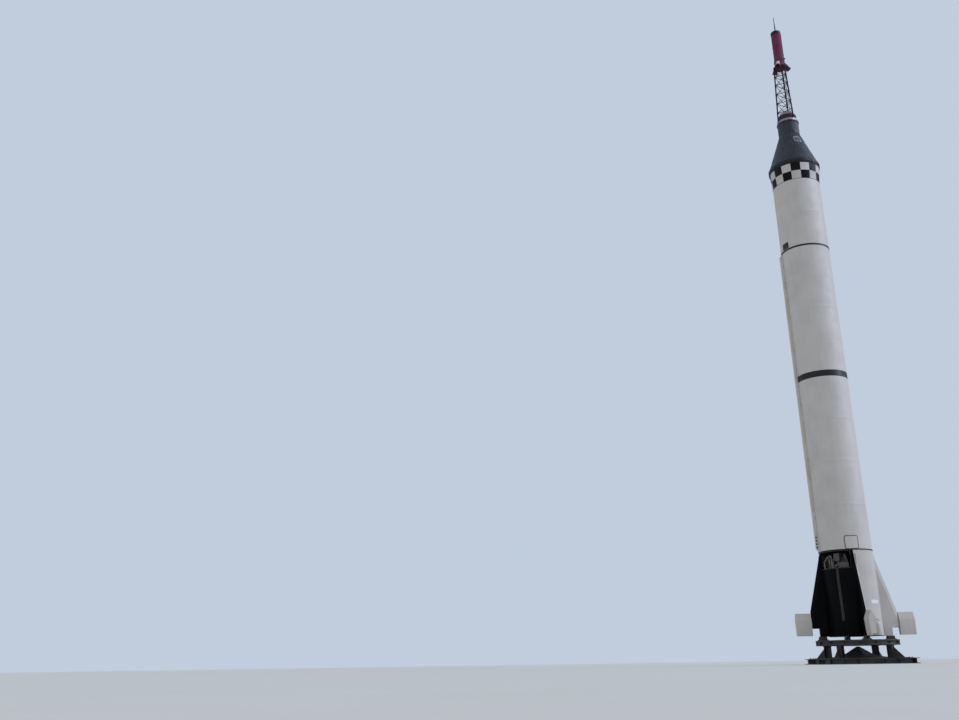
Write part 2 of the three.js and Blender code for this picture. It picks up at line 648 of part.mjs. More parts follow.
// Tool that cuts a tapered opening, grown by a margin
function doorway({ azimuth, bottom, top, lowWidth, highWidth }, margin) {
  const [low, high] = [lowWidth / 2 + margin, highWidth / 2 + margin];
  const [foot, head] = [bottom - margin, top + margin];
  const outline = [[-low, foot], [low, foot], [high, head], [-high, head]];
  return solid(slab(outline, 200, 1200).rotateZ(turn(azimuth)));
}

// Outside of the cone: rows of shingles, each lapping over the one above by a small step
const shingleLine = Array.from({ length: SHINGLE.rows }, (_, i) => {
  const [low, high] = [i, i + 1].map((row) => mix(CAPSULE_BOTTOM, CONE_TOP, row / SHINGLE.rows));
  return [[coneR(low), low], [coneR(high, SHINGLE.lap), high]];
}).flat();
const capsuleOutside = solid(turned([[0, CAPSULE_BOTTOM], ...shingleLine, [0, CONE_TOP]]));
const cabin = coneBody(CABIN_FLOOR, CABIN_TOP, CAPSULE_WALL);
const capsuleWall = capsuleOutside.subtract(cabin);
piece(rocket, 'capsule_shell', geometryOf(
  capsuleWall.subtract(doorway(HATCH, SEAM)).subtract(doorway(WINDOW, SEAM)),
), 'shingle');
piece(rocket, 'capsule_hatch', geometryOf(capsuleWall.intersect(doorway(HATCH, 0))), 'shingle');
const paneOutside = coneBody(CAPSULE_BOTTOM, CONE_TOP, 12);
const paneLayer = paneOutside.subtract(coneBody(CAPSULE_BOTTOM - 1, CONE_TOP + 1, 28));
piece(rocket, 'window_pane', geometryOf(paneLayer.intersect(doorway(WINDOW, 0))), 'glass');

// Couch on the cabin floor and instrument panel across the cabin
const COUCH = { back: 120, seat: 330 };
const couchLow = CABIN_FLOOR + GAP;
piece(rocket, 'couch', plate([
  [-560, couchLow], [330, couchLow], [330, couchLow + COUCH.seat], [220, couchLow + COUCH.seat],
  [190, couchLow + COUCH.back], [-420, couchLow + COUCH.back], [-480, couchLow + COUCH.back + 60],
  [-560, couchLow + COUCH.back + 60],
], 560), 'fabric');
const cabinClear = coneBody(CABIN_FLOOR, CABIN_TOP, CAPSULE_WALL + SEAM);
piece(rocket, 'instrument_panel', geometryOf(
  cabinClear.intersect(solid(block([-800, 160, 18850], [800, 200, 19180]))),
), 'steel');

// Recovery compartment, antenna canister and the ring that carries the tower
piece(rocket, 'recovery_compartment', turned([
  [0, CONE_TOP + GAP], [RECOVERY_R, CONE_TOP + GAP], [RECOVERY_R, RECOVERY_TOP - 70],
  [RECOVERY_R + 20, RECOVERY_TOP - 50], [RECOVERY_R + 20, RECOVERY_TOP], [0, RECOVERY_TOP],
], 36), 'shingle');
const CANISTER = { r: 300, shoulderR: 290, shoulder: 20560, lidR: 230, top: 20640 };
piece(rocket, 'antenna_canister', turned([
  [0, RECOVERY_TOP + GAP], [CANISTER.r, RECOVERY_TOP + GAP], [CANISTER.shoulderR, CANISTER.shoulder],
  [CANISTER.lidR, CANISTER.top], [0, CANISTER.top],
], 24), 'steel');
const TOWER_RING = { inner: 315, lowR: 415, highR: 405 };
piece(rocket, 'tower_base_ring', turned([
  [TOWER_RING.inner, RECOVERY_TOP + GAP], [TOWER_RING.lowR, RECOVERY_TOP + GAP],
  [TOWER_RING.highR, TOWER_RING_TOP - GAP], [TOWER_RING.inner, TOWER_RING_TOP - GAP],
  [TOWER_RING.inner, RECOVERY_TOP + GAP],
], 36), 'bare');

// Radius of the tower's legs at a height
function legR(z) {
  return mix(LEG_BASE_R, LEG_TOP_R, (z - TOWER_RING_TOP) / (TOWER_TOP - TOWER_RING_TOP));
}

// Lattice of three legs, rungs and crossed braces
function tower() {
  const parts = [];
  for (const azimuth of LEG_AZIMUTHS) {
    const foot = block([-42, -LEG_BASE_R - 42, TOWER_RING_TOP], [42, -LEG_BASE_R + 42, TOWER_RING_TOP + 22]);
    const head = block([-36, -LEG_TOP_R - 34, TOWER_TOP - 26], [36, -LEG_TOP_R + 34, TOWER_TOP - GAP]);
    parts.push(foot.rotateZ(turn(azimuth)), head.rotateZ(turn(azimuth)));
    const legFoot = place(azimuth, LEG_BASE_R, TOWER_RING_TOP + 12);
    parts.push(bar(legFoot, place(azimuth, LEG_TOP_R, TOWER_TOP - 14), LEG_TUBE_R));
  }
  TOWER_LEVELS.forEach((z, level) => {
    LEG_AZIMUTHS.forEach((azimuth, side) => {
      const next = LEG_AZIMUTHS[(side + 1) % LEG_AZIMUTHS.length];
      parts.push(bar(place(azimuth, legR(z), z), place(next, legR(z), z), BRACE_TUBE_R, BRACE_TUBE_R, 4));
      const above = TOWER_LEVELS[level + 1];
      if (!above) return;
      parts.push(bar(place(azimuth, legR(z), z), place(next, legR(above), above), CROSS_R, CROSS_R, 4));
      parts.push(bar(place(next, legR(z), z), place(azimuth, legR(above), above), CROSS_R, CROSS_R, 4));
    });
  });
  const hoopR = legR(TOWER_HOOP.top);
  parts.push(ring(hoopR - 22, hoopR + 8, TOWER_HOOP.bottom, TOWER_HOOP.top, 24));
  return geometryOf(joined(parts));
}
piece(rocket, 'escape_tower', tower(), 'red');

// Escape nozzles lean out below the motor: ends of their axis and their radii
const ESCAPE = {
  topR: 160, topZ: 23080, exitR: 340, exitZ: 22750, throat: 62, mouth: 108, wall: 12, depth: 0.75,
};

// Hollow cone of one escape nozzle, or its filled envelope grown by a margin
function escapeNozzle(azimuth, margin) {
  const top = place(azimuth, ESCAPE.topR, ESCAPE.topZ);
  const exit = place(azimuth, ESCAPE.exitR, ESCAPE.exitZ);
  const back = new THREE.Vector3().subVectors(top, exit).setLength(margin);
  return solid(bar(top.add(back), exit, ESCAPE.throat + margin, ESCAPE.mouth + margin, 24));
}
function escapeHollow(azimuth) {
  const top = place(azimuth, ESCAPE.topR, ESCAPE.topZ);
  const exit = place(azimuth, ESCAPE.exitR, ESCAPE.exitZ);
  const inside = exit.clone().lerp(top, ESCAPE.depth);
  const past = top.clone().lerp(exit, 1.02);
  const rInside = mix(ESCAPE.mouth, ESCAPE.throat, ESCAPE.depth) - ESCAPE.wall;
  return solid(bar(inside, past, rInside, ESCAPE.mouth - ESCAPE.wall, 24));
}

// Housing between tower and motor, cut clear of the nozzles
let housing = solid(turned([
  [0, TOWER_TOP], [LEG_TOP_R + 20, TOWER_TOP], [LEG_TOP_R + 20, TOWER_TOP + 30], [205, TOWER_TOP + 90],
  [200, MOTOR_BOTTOM - 50], [214, MOTOR_BOTTOM - 40], [214, MOTOR_BOTTOM - GAP], [0, MOTOR_BOTTOM - GAP],
], 36));
for (const azimuth of ESCAPE_AZIMUTHS) housing = housing.subtract(escapeNozzle(azimuth, GAP));
piece(rocket, 'motor_housing', geometryOf(housing), 'red');
ESCAPE_AZIMUTHS.forEach((azimuth, i) => {
  const bell = escapeNozzle(azimuth, 0).subtract(escapeHollow(azimuth));
  piece(rocket, `escape_nozzle_${i + 1}`, geometryOf(bell), 'black');
});

// Escape motor: a case with three bands, and on one side its firing lead with clips and a lug
function escapeMotor() {
  const [low, high] = [MOTOR_BOTTOM, MOTOR_TOP - GAP];
  const caseR = MOTOR_R - MOTOR_BAND.proud;
  const line = MOTOR_BAND.heights.flatMap((height) => [
    [caseR, low + height - MOTOR_BAND.half], [MOTOR_R, low + height - MOTOR_BAND.half],
    [MOTOR_R, low + height + MOTOR_BAND.half], [caseR, low + height + MOTOR_BAND.half],
  ]);
  const motor = turned([[0, low], [caseR, low], ...line, [caseR, high], [0, high]], 24);
  const { azimuth, r, clips, clipHalf, clipProud } = MOTOR_LEAD;
  const leadR = MOTOR_R - 2;
  const trim = [bar(new THREE.Vector3(0, -leadR, low + 100), new THREE.Vector3(0, -leadR, high - 30), r)];
  const { half, proud, bottom, top } = MOTOR_LUG;
  trim.push(block([-half, -MOTOR_R - proud, low + bottom], [half, -caseR + 8, low + top]));
  for (let i = 0; i < clips; i += 1) {
    const z = mix(low + 260, high - 160, i / (clips - 1));
    trim.push(block([-clipHalf, -MOTOR_R - clipProud, z - 12], [clipHalf, -caseR + 8, z + 12]));
  }
  return geometryOf(joined([motor, ...trim.map((part) => part.rotateZ(turn(azimuth)))]));
}
piece(rocket, 'escape_motor', escapeMotor(), 'red');
piece(rocket, 'nose_spike', turned([
  [0, MOTOR_TOP], [MOTOR_R, MOTOR_TOP], [MOTOR_R, MOTOR_TOP + 40], [34, CAP_TOP], [24, CAP_TOP + 10],
  [7, SPIKE_TOP], [0, SPIKE_TOP],
], 24), 'black');

const model = new THREE.Group();
model.add(table, rocket);
export default model;
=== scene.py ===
# %% [markdown]
# # A crewed rocket on its launch table
# The finished part of this rocket is a fixed frame of solids, in metres, with +Z up and
# its origin under the launch table. This lesson dresses that frame. Every surface is a
# function worked out with whole numpy arrays, and every finish is a small node tree.
# An azimuth is counted in degrees from -Y towards +X, as on the frame.

import bmesh
import bpy
import numpy as np
from mathutils import Matrix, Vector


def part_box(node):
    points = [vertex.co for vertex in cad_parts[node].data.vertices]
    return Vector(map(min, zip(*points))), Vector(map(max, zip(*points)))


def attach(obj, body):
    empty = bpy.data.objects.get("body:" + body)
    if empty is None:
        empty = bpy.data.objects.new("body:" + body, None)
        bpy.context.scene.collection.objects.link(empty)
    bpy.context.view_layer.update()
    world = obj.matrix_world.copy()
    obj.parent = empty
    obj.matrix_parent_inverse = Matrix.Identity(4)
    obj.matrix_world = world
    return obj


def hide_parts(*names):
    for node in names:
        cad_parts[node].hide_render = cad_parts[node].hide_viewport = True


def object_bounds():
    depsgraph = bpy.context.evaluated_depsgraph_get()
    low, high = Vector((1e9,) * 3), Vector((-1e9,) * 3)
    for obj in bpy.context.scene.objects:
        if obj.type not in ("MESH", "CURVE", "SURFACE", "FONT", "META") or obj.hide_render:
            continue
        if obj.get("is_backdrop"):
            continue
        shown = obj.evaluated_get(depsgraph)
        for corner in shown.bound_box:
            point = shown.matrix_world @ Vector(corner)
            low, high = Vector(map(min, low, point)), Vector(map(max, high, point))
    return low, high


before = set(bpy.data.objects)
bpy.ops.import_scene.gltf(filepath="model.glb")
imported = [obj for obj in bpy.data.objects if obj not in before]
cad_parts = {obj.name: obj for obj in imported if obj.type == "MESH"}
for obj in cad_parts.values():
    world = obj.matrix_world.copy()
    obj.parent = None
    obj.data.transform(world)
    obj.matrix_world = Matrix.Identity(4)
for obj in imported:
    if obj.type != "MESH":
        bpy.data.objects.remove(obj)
cad_low, cad_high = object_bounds()
print("frame box", [round(v, 3) for v in cad_low], [round(v, 3) for v in cad_high])

# %% [markdown]
# ## Sizes read from the frame
# Stations up the rocket come from the boxes of the frame's own pieces, so a change of
# the frame carries through. Only sizes that the frame doesn't hold are written here.

# %% Stations and radii
LOW, HIGH = 0, 1
X, Y, Z = 0, 1, 2


def corners_of(node):
    """Low and high corner of a frame piece's box, as arrays."""
    return (np.array(corner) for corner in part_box(node))


def span(node):
    """Heights of a frame piece's lower and upper end."""
    return tuple(corner[Z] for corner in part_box(node))


def reach(node):
    """Largest distance of a frame piece from the rocket's axis, along X."""
    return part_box(node)[HIGH][X]


BODY_R = reach("lower_tank")
BASE, TAIL_TOP = span("tail_shell")
FIN_AZIMUTHS = (0, 90, 180, 270)
print("base", round(BASE, 3), "body radius", round(BODY_R, 3))

# %% [markdown]
# ## Shapes as arrays
# A shape here is a pair: an array of corners and a list of faces. A grid of points is the
# usual start, because a turned wall, a pipe and a plate are all functions of two
# parameters. Closing a grid joins its last row or column to its first, and capping it
# lays a face over each of its two ends.

# %% Grids and turned walls
def grid(points, close_rows=False, close_columns=False, keep=None):
    """Quads between neighbouring points of an array shaped (rows, columns, 3)."""
    rows, columns = points.shape[:2]
    i = np.arange(rows if close_rows else rows - 1)[:, None]
    j = np.arange(columns if close_columns else columns - 1)[None, :]
    right, up = (j + 1) % columns, (i + 1) % rows
    quads = np.stack([i * columns + j, i * columns + right, up * columns + right, up * columns + j], -1)
    if keep is not None:
        quads = quads[keep]
    return points.reshape(-1, 3), quads.reshape(-1, 4).tolist()


def capped(points):
    """Grid closed round its columns, with a face over its first row and one over its last."""
    corners, quads = grid(points, close_columns=True)
    columns = points.shape[1]
    first, last = list(range(columns)), list(range(len(corners) - columns, len(corners)))
    return corners, quads + [first, last]


def around(azimuth, radius, height):
    """Points at an azimuth in degrees, a radius and a height, as (..., 3) arrays."""
    angle = np.radians(azimuth)
    parts = np.broadcast_arrays(radius * np.sin(angle), -radius * np.cos(angle), height)
    return np.stack(parts, -1).astype(float)


def turned(profile, columns=160, closed=False):
    """Wall turned about Z: each (radius, height) of the profile carried round a full circle."""
    r, z = np.asarray(profile, float).T
    azimuth = np.arange(columns) * 360 / columns
    points = around(azimuth[None, :], r[:, None], z[:, None])
    return grid(points, close_rows=closed, close_columns=True)


# %% Profiles, drums and hoops
def above(base, *points):
    """Profile points given as (radius, height over a base)."""
    return [(r, base + height) for r, height in points]


def drum(radius, low, high, columns=160, edge=0.004):
    """Closed drum with a small chamfer round both ends, as a turned profile."""
    profile = [(0, low), (radius - edge, low), (radius, low + edge)]
    profile += [(radius, high - edge), (radius - edge, high), (0, high)]
    return turned(profile, columns)


def hoop(inner, outer, low, high, columns):
    """Ring of rectangular section, as a closed turned profile."""
    return turned([(inner, low), (outer, low), (outer, high), (inner, high)], columns, closed=True)


# %% Pipes along a path
def smooth(points, steps=8):
    """Catmull-Rom curve through points: a cubic between each pair, with `steps` samples."""
    p = np.asarray(points, float)
    p = np.vstack([2 * p[0] - p[1], p, 2 * p[-1] - p[-2]])
    t = np.arange(steps)[:, None, None] / steps
    a, b, c, d = p[:-3], p[1:-2], p[2:-1], p[3:]
    curve = 0.5 * (2 * b + (c - a) * t + (2 * a - 5 * b + 4 * c - d) * t**2 + (3 * b - a - 3 * c + d) * t**3)
    return np.vstack([curve.transpose(1, 0, 2).reshape(-1, 3), p[-2]])


# A pipe's circle starts at a direction that its path never follows: one for pipes that
# run level or round, one for pipes that stand
LEVEL_REF, UPRIGHT_REF = (0.31, 0.17, 0.93), (0.93, 0.31, 0.17)


def tube(path, radius, sides=12, ref=LEVEL_REF):
    """Pipe: a circle of `sides` points carried along the path, square to its tangent."""
    path = np.asarray(path, float)
    radius = np.broadcast_to(radius, len(path))[:, None, None]
    tangent = np.gradient(path, axis=0)
    side = np.cross(tangent, ref)
    side /= np.linalg.norm(side, axis=1, keepdims=True)
    other = np.cross(tangent, side)
    other /= np.linalg.norm(other, axis=1, keepdims=True)
    turn = np.arange(sides) * 2 * np.pi / sides
    ring = np.cos(turn)[None, :, None] * side[:, None] + np.sin(turn)[None, :, None] * other[:, None]
    return capped(path[:, None] + radius * ring)


# %% Prisms and boxes
def prism(outline, depth):
    """Outline of (x, z) points in the XZ plane, given a depth along Y about the plane."""
    x, z = np.asarray(outline, float).T
    near = np.stack([x, np.full_like(x, -depth / 2), z], 1)
    far = near + (0, depth, 0)
    n = len(x)
    sides = [[i, (i + 1) % n, n + (i + 1) % n, n + i] for i in range(n)]
    return np.vstack([near, far]), sides + [list(range(n)), list(range(n, 2 * n))]


def mirrored(half):
    """Closed outline from its right half, drawn upwards: it starts at the half's mirrored first point."""
    flipped = [(-x, z) for x, z in half]
    return flipped[:1] + half + flipped[:0:-1]


def cuboid(low, high):
    """Box between two corners; its edges are chamfered only where its piece has a Bevel."""
    low, high = np.asarray(low, float), np.asarray(high, float)
    outline = [(low[0], low[2]), (high[0], low[2]), (high[0], high[2]), (low[0], high[2])]
    corners, faces = prism(outline, high[1] - low[1])
    return corners + (0, (low[1] + high[1]) / 2, 0), faces


# %% Moving and repeating shapes
def turned_to(shape, azimuth):
    """Shape drawn towards -Y, turned about Z to face its azimuth."""
    corners, faces = shape
    c, s = np.cos(np.radians(azimuth)), np.sin(np.radians(azimuth))
    return corners @ np.array([[c, s, 0], [-s, c, 0], [0, 0, 1]]), faces


def at_each(azimuths, *shapes):
    """Shapes drawn towards -Y, all of them turned to one azimuth after another."""
    return [turned_to(shape, azimuth) for azimuth in np.atleast_1d(azimuths) for shape in shapes]


def moved(shape, offset):
    """Shape shifted by an offset."""
    return shape[0] + np.asarray(offset, float), shape[1]


def repeated(shape, places):
    """Copies of a shape: each place is a 4x4 matrix, applied to all corners at once."""
    corners, faces = shape
    places = np.asarray(places, float)
    copies = np.einsum("pij,vj->pvi", places[:, :3, :3], corners) + places[:, None, :3, 3]
    offsets = np.arange(len(places)) * len(corners)
    joined = [[i + offset for i in face] for offset in offsets.tolist() for face in faces]
    return copies.reshape(-1, 3), joined


def facing(azimuth, radius, height, tilt=0.0):
    """Matrices that stand a shape drawn towards -Y on a wall: outwards is -Y, up is Z."""
    azimuth, radius, height, tilt = np.broadcast_arrays(azimuth, radius, height, tilt)
    azimuth, radius, height, tilt = (np.ravel(v).astype(float) for v in (azimuth, radius, height, tilt))
    a, t = np.radians(azimuth), np.radians(tilt)
    right = np.stack([np.cos(a), np.sin(a), 0 * a], 1)
    flat_out = np.stack([np.sin(a), -np.cos(a), 0 * a], 1)
    up = flat_out * -np.sin(t)[:, None] + np.array([0, 0, 1]) * np.cos(t)[:, None]
    out = np.cross(right, up)
    places = np.zeros((len(a), 4, 4))
    places[:, :3, 0], places[:, :3, 1], places[:, :3, 2] = right, -out, up
    places[:, :3, 3] = around(azimuth, radius, height)
    places[:, 3, 3] = 1
    return places


# %% Rivet and bolt heads
def dome(radius, height, sides=8):
    """Rivet or cap head towards -Y: three rings that close at the top."""
    rings = [(radius, 0.0), (radius * 0.86, height * 0.55), (radius * 0.45, height * 0.93), (0, height)]
    r, h = np.array(rings).T
    turn = np.arange(sides) * 2 * np.pi / sides
    x, z = r[:, None] * np.cos(turn), r[:, None] * np.sin(turn)
    points = np.stack(np.broadcast_arrays(x, -h[:, None], z), -1)
    return grid(points, close_columns=True)


def hexagon_head(across, height):
    """Bolt head towards -Y: a hexagon with its back face on the wall."""
    turn = np.arange(6) * np.pi / 3
    outline = np.stack([np.cos(turn), np.sin(turn)], 1) * across / np.sqrt(3)
    return moved(prism(outline, height), (0, -height / 2, 0))


# %% [markdown]
# ## From arrays to pieces
# One function makes a Blender object of shapes. It merges doubled corners, so seams and
# poles close, turns the faces outwards, shades smooth up to an angle, hangs the piece on
# the body it rides on, hides the frame nodes it stands for and gives it its finish.

# %% Making a piece
def piece(name, shapes, material, body="vehicle", nodes=(), bevel=0.0, wall=0.0, angle=32):
    """One named object of several shapes, with an optional bevel or wall thickness."""
    shapes = shapes if isinstance(shapes, list) else [shapes]
    starts = np.cumsum([0] + [len(corners) for corners, _ in shapes])
    faces = [[i + start for i in face] for (_, fs), start in zip(shapes, starts.tolist()) for face in fs]
    mesh = bpy.data.meshes.new(name)
    mesh.from_pydata(np.vstack([corners for corners, _ in shapes]).tolist(), [], faces)
    work = bmesh.new()
    work.from_mesh(mesh)
    bmesh.ops.remove_doubles(work, verts=work.verts, dist=2e-5)
    bmesh.ops.dissolve_degenerate(work, edges=work.edges, dist=1e-6)
    bmesh.ops.recalc_face_normals(work, faces=work.faces)
    work.to_mesh(mesh)
    work.free()
    mesh.polygons.foreach_set("use_smooth", np.ones(len(mesh.polygons), bool))
    mesh.set_sharp_from_angle(angle=np.radians(angle))
    made = bpy.data.objects.new(name, mesh)
    bpy.context.scene.collection.objects.link(made)
    mesh.materials.append(material)
    if wall:
        solid = made.modifiers.new("wall", "SOLIDIFY")
        solid.thickness, solid.offset = wall, -1
    if bevel:
        edge = made.modifiers.new("edge", "BEVEL")
        edge.width, edge.segments, edge.limit_method = bevel, 2, "ANGLE"
        edge.angle_limit, edge.harden_normals = np.radians(40), False
    if body:
        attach(made, body)
    if nodes:
        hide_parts(*nodes)
    triangles = sum(len(p.vertices) - 2 for p in mesh.polygons)
    print(f"{name}: {triangles} triangles before modifiers")
    return made


# %% [markdown]
# ## Colours and node trees
# A finish is mixed from sRGB colours, as a paint card gives them, turned to linear light.
# One function adds a node with its settings and links, so a tree reads from top to bottom.
# Pattern sizes are real ones in millimetres, turned to cycles per metre.

# %% Colours
def colour(code):
    """sRGB hex code to linear red, green, blue and alpha."""
    s = np.array([int(code[i : i + 2], 16) for i in (0, 2, 4)]) / 255
    return (*np.where(s <= 0.04045, s / 12.92, ((s + 0.055) / 1.055) ** 2.4).tolist(), 1.0)


def colours(*codes):
    """Several hex codes at once."""
    return [colour(code) for code in codes]


# %% Nodes and finishes
def add(tree, kind, inputs=(), output=0, **settings):
    """Adds a node and gives one of its outputs. Inputs, by place or name, are values or sockets."""
    node = tree.nodes.new("ShaderNode" + kind)
    for name, value in settings.items():
        setattr(node, name, value)
    for key, value in inputs.items() if isinstance(inputs, dict) else enumerate(inputs):
        if isinstance(value, bpy.types.NodeSocket):
            tree.links.new(value, node.inputs[key])
        else:
            node.inputs[key].default_value = value
    return node.outputs[output] if node.outputs else node


# The Mix node keeps its colours at inputs 6 and 7 and its colour output at 2
FACTOR, FIRST, SECOND, MIXED = 0, 6, 7, 2


def finish(name, **constants):
    """New material: its tree and its Principled shader, with the constants on the shader's sockets."""
    made = bpy.data.materials.new(name)
    made.use_nodes = True
    tree = made.node_tree
    tree.nodes.clear()
    surface = add(tree, "BsdfPrincipled", {key.replace("_", " "): value for key, value in constants.items()})
    add(tree, "OutputMaterial", {"Surface": surface})
    return made, tree, surface.node.inputs


def grain(tree, millimetres, stretch=(1, 1, 1), detail=4.0, rough=0.55):
    """Noise of a real feature size on the piece's own coordinates, stretched along an axis."""
    place = add(tree, "TexCoord", output="Object")
    cycles = [1000 / millimetres / s for s in stretch]
    spread = add(tree, "Mapping", {"Vector": place, "Scale": cycles})
    return add(tree, "TexNoise", {"Vector": spread, "Scale": 1.0, "Detail": detail, "Roughness": rough})


# %% [markdown]
# ## Weather on paint
# A rocket that stands outdoors for years chalks in patches, and rain draws thin grey
# streaks down it from every joint. Both are noise: the chalk is broad, and the streaks are
# the same noise stretched many times along Z. The thin skin between its frames is never
# quite flat, so a broad bump bends the reflections, and sprayed paint adds orange peel.

# %% Weather recipe
def weathered(tree, sockets, paint, chalk, grime, dirt=0.5, gloss=(0.34, 0.6), buckle=0.25):
    """Joins paint, chalk patches, rain streaks and grime to a shader, with bump and gloss."""
    patch = add(tree, "MapRange", [grain(tree, 900), 0.42, 0.68])
    coat = add(tree, "Mix", {FACTOR: patch, FIRST: paint, SECOND: chalk}, MIXED, data_type="RGBA")
    run = add(tree, "MapRange", [grain(tree, 70, (1, 1, 26), 3.0), 0.52, 0.76, 0.0, dirt])
    film = add(tree, "MapRange", [grain(tree, 260, (1, 1, 2.5), 8.0, 0.7), 0.5, 0.8, 0.0, dirt * 0.8])
    soiled = add(tree, "Math", [run, film], operation="MAXIMUM")
    stained = add(tree, "Mix", {FACTOR: soiled, FIRST: coat, SECOND: grime}, MIXED, data_type="RGBA")
    tree.links.new(stained, sockets["Base Color"])
    worn = add(tree, "MapRange", [grain(tree, 320), 0.3, 0.7, *gloss])
    dulled = add(tree, "Math", [soiled, 0.15, worn], operation="MULTIPLY_ADD")
    tree.links.new(dulled, sockets["Roughness"])
    broad = grain(tree, 520, (1, 1, 1.6), 1.0)
    buckled = add(tree, "Bump", {"Strength": buckle, "Distance": 0.012, "Height": broad})
    peel = {"Strength": 0.12, "Distance": 0.0006, "Height": grain(tree, 6, detail=2.0), "Normal": buckled}
    tree.links.new(add(tree, "Bump", peel), sockets["Normal"])
    return stained


def painted(name, tones, dirt=0.5, gloss=(0.5, 0.75), buckle=0.05, **constants):
    """Finish by the recipe alone: its tones are paint, chalk and grime, matt unless told otherwise."""
    made, tree, sockets = finish(name, **constants)
    weathered(tree, sockets, *colours(*tones), dirt, gloss, buckle)
    return made


# %% [markdown]
# ## Paints of the body
# The body wears off-white gloss enamel, sprayed over riveted and welded alloy. The tail is
# painted in quarters, black and white by turns, so that its roll shows from the ground:
# the sign of x times y tells the quarters apart. The adapter has sixteen checks round it in
# two rows, worked out from the azimuth and the height of a point.

# %% White, black and quartered enamel
# Paint, chalk and grime of the pale enamel and of the black one
PALE_TONES, BLACK_TONES = ("C5BEB5", "BCB5AD", "837D77"), ("060608", "0B0B0D", "171614")
# Gloss enamel: pale, slightly chalked, with grey rain streaks
WHITE = painted("white_gloss_enamel", PALE_TONES, 0.14, (0.42, 0.62), 0.1, Specular_IOR_Level=0.4)
# Satin enamel: it chalks to charcoal, and dust shows on it more than on gloss
BLACK = painted("black_satin_enamel", BLACK_TONES, 0.3, (0.4, 0.6), 0.25, Specular_IOR_Level=0.42)


def two_tone(tree, sockets, dark, dirt):
    """Weathered enamel that is black where the factor is one and off-white elsewhere."""
    pairs = zip(colours(*PALE_TONES), colours(*BLACK_TONES))
    layers = [{FACTOR: dark, FIRST: pale, SECOND: deep} for pale, deep in pairs]
    weathered(tree, sockets, *(add(tree, "Mix", layer, MIXED, data_type="RGBA") for layer in layers), dirt)


def quartered_enamel():
    """Tail paint: black where x times y is positive, off-white elsewhere."""
    made, tree, sockets = finish("quartered_matt_enamel", Specular_IOR_Level=0.05)
    place = add(tree, "TexCoord", output="Object")
    x, y = (add(tree, "SeparateXYZ", [place], axis) for axis in "XY")
    product = add(tree, "Math", [x, y], operation="MULTIPLY")
    two_tone(tree, sockets, add(tree, "Math", [product, 0.0], operation="GREATER_THAN"), 0.16)
    return made


QUARTERED = quartered_enamel()

# %% Checkered enamel
CHECKS = 16


def checkered_enamel(low, middle, high):
    """Adapter paint: two rows of checks that swap colours at the middle, under a black rim."""
    made, tree, sockets = finish("checkered_enamel", Specular_IOR_Level=0.12)
    place = add(tree, "TexCoord", output="Object")
    x, y, z = (add(tree, "SeparateXYZ", [place], axis) for axis in "XYZ")
    away = add(tree, "Math", [y, -1.0], operation="MULTIPLY")
    angle = add(tree, "Math", [x, away], operation="ARCTAN2")
    # Checks counted from azimuth 0, with a whole turn added so that the count is positive
    count = add(tree, "Math", [angle, CHECKS / (2 * np.pi), float(CHECKS)], operation="MULTIPLY_ADD")
    column = add(tree, "Math", [count], operation="FLOOR")
    row = add(tree, "Math", [z, middle], operation="LESS_THAN")
    both = add(tree, "Math", [column, row], operation="ADD")
    odd = add(tree, "Math", [both, 2.0], operation="FLOORED_MODULO")
    rim = add(tree, "Math", [z, high], operation="GREATER_THAN")
    skirt = add(tree, "Math", [z, low], operation="GREATER_THAN")
    dark = add(tree, "Math", [odd, rim], operation="MAXIMUM")
    two_tone(tree, sockets, add(tree, "Math", [dark, skirt], operation="MULTIPLY"), 0.14)
    return made


# %% [markdown]
# ## Finishes of the capsule and the tower
# The capsule wears thin beaded shingles of a nickel alloy, oxidised to a blue black, so it
# is part metal, and its pale upright streaks are painted reflections of the beads. The
# tower is crimson enamel, faded and dull; the lattice wears a darker copy of it, painted
# shade of thin tubes against the sky. Its nozzles are scorched dark outside, with a pale
# painted highlight on their upper side. Small fittings stay bare alloy.

# %% Shingles and enamels of the tower
# Rolled nickel alloy, blackened by heat: dark and bluish; its pale third tone runs in upright streaks,
# painted reflections of the beads
SHINGLE_AND_SHEEN = painted("oxidised_nickel_shingle_painted_sheen", ("20252D", "2E343D", "4E535B"), 0.5, (0.36, 0.56), 0.12,
                  Metallic=0.4)
# Enamel on steel, faded to a purplish red, with dark rain stains and hardly any shine
FADED = (0.4, (0.55, 0.75), 0.1)
RED = painted("faded_crimson_enamel", ("71264A", "63404F", "3A2430"), *FADED, Specular_IOR_Level=0.1)
# The lattice wears a darker copy of the same enamel: painted shade of its thin tubes against the sky
SHADED_LATTICE_RED = painted("crimson_enamel_painted_shade", ("3F2731", "3A2B34", "251C22"), *FADED, Specular_IOR_Level=0.1)
# Paint burnt dull round the nozzles, and pale pink paint on their upper side: a painted highlight where the
# sky would shine on them
SCORCHED = painted("scorched_nozzle_paint", ("2A2E35", "353A42", "211F1E"), 0.4, (0.4, 0.6))
PINK_PAINTED_HIGHLIGHT = painted("pale_pink_painted_highlight", ("DDB9C8", "CDB0BC", "8F7480"), 0.3, (0.45, 0.65))


# %% Bare metals
def bare_metal(name, bright, dull, rough=(0.28, 0.5), along=(1, 1, 1)):
    """Bare metal: its rolled or ground grain runs along an axis, and dull patches take the light off."""
    made, tree, sockets = finish(name, Metallic=0.9)
    patch = add(tree, "MapRange", [grain(tree, 180), 0.4, 0.66])
    layers = {FACTOR: patch, FIRST: colour(bright), SECOND: colour(dull)}
    tone = add(tree, "Mix", layers, MIXED, data_type="RGBA")
    tree.links.new(tone, sockets["Base Color"])
    fine = grain(tree, 9, along, 3.0)
    tree.links.new(add(tree, "MapRange", [fine, 0.3, 0.7, *rough]), sockets["Roughness"])
    tree.links.new(add(tree, "Bump", {"Strength": 0.2, "Distance": 0.0008, "Height": fine}),
                   sockets["Normal"])
    return made


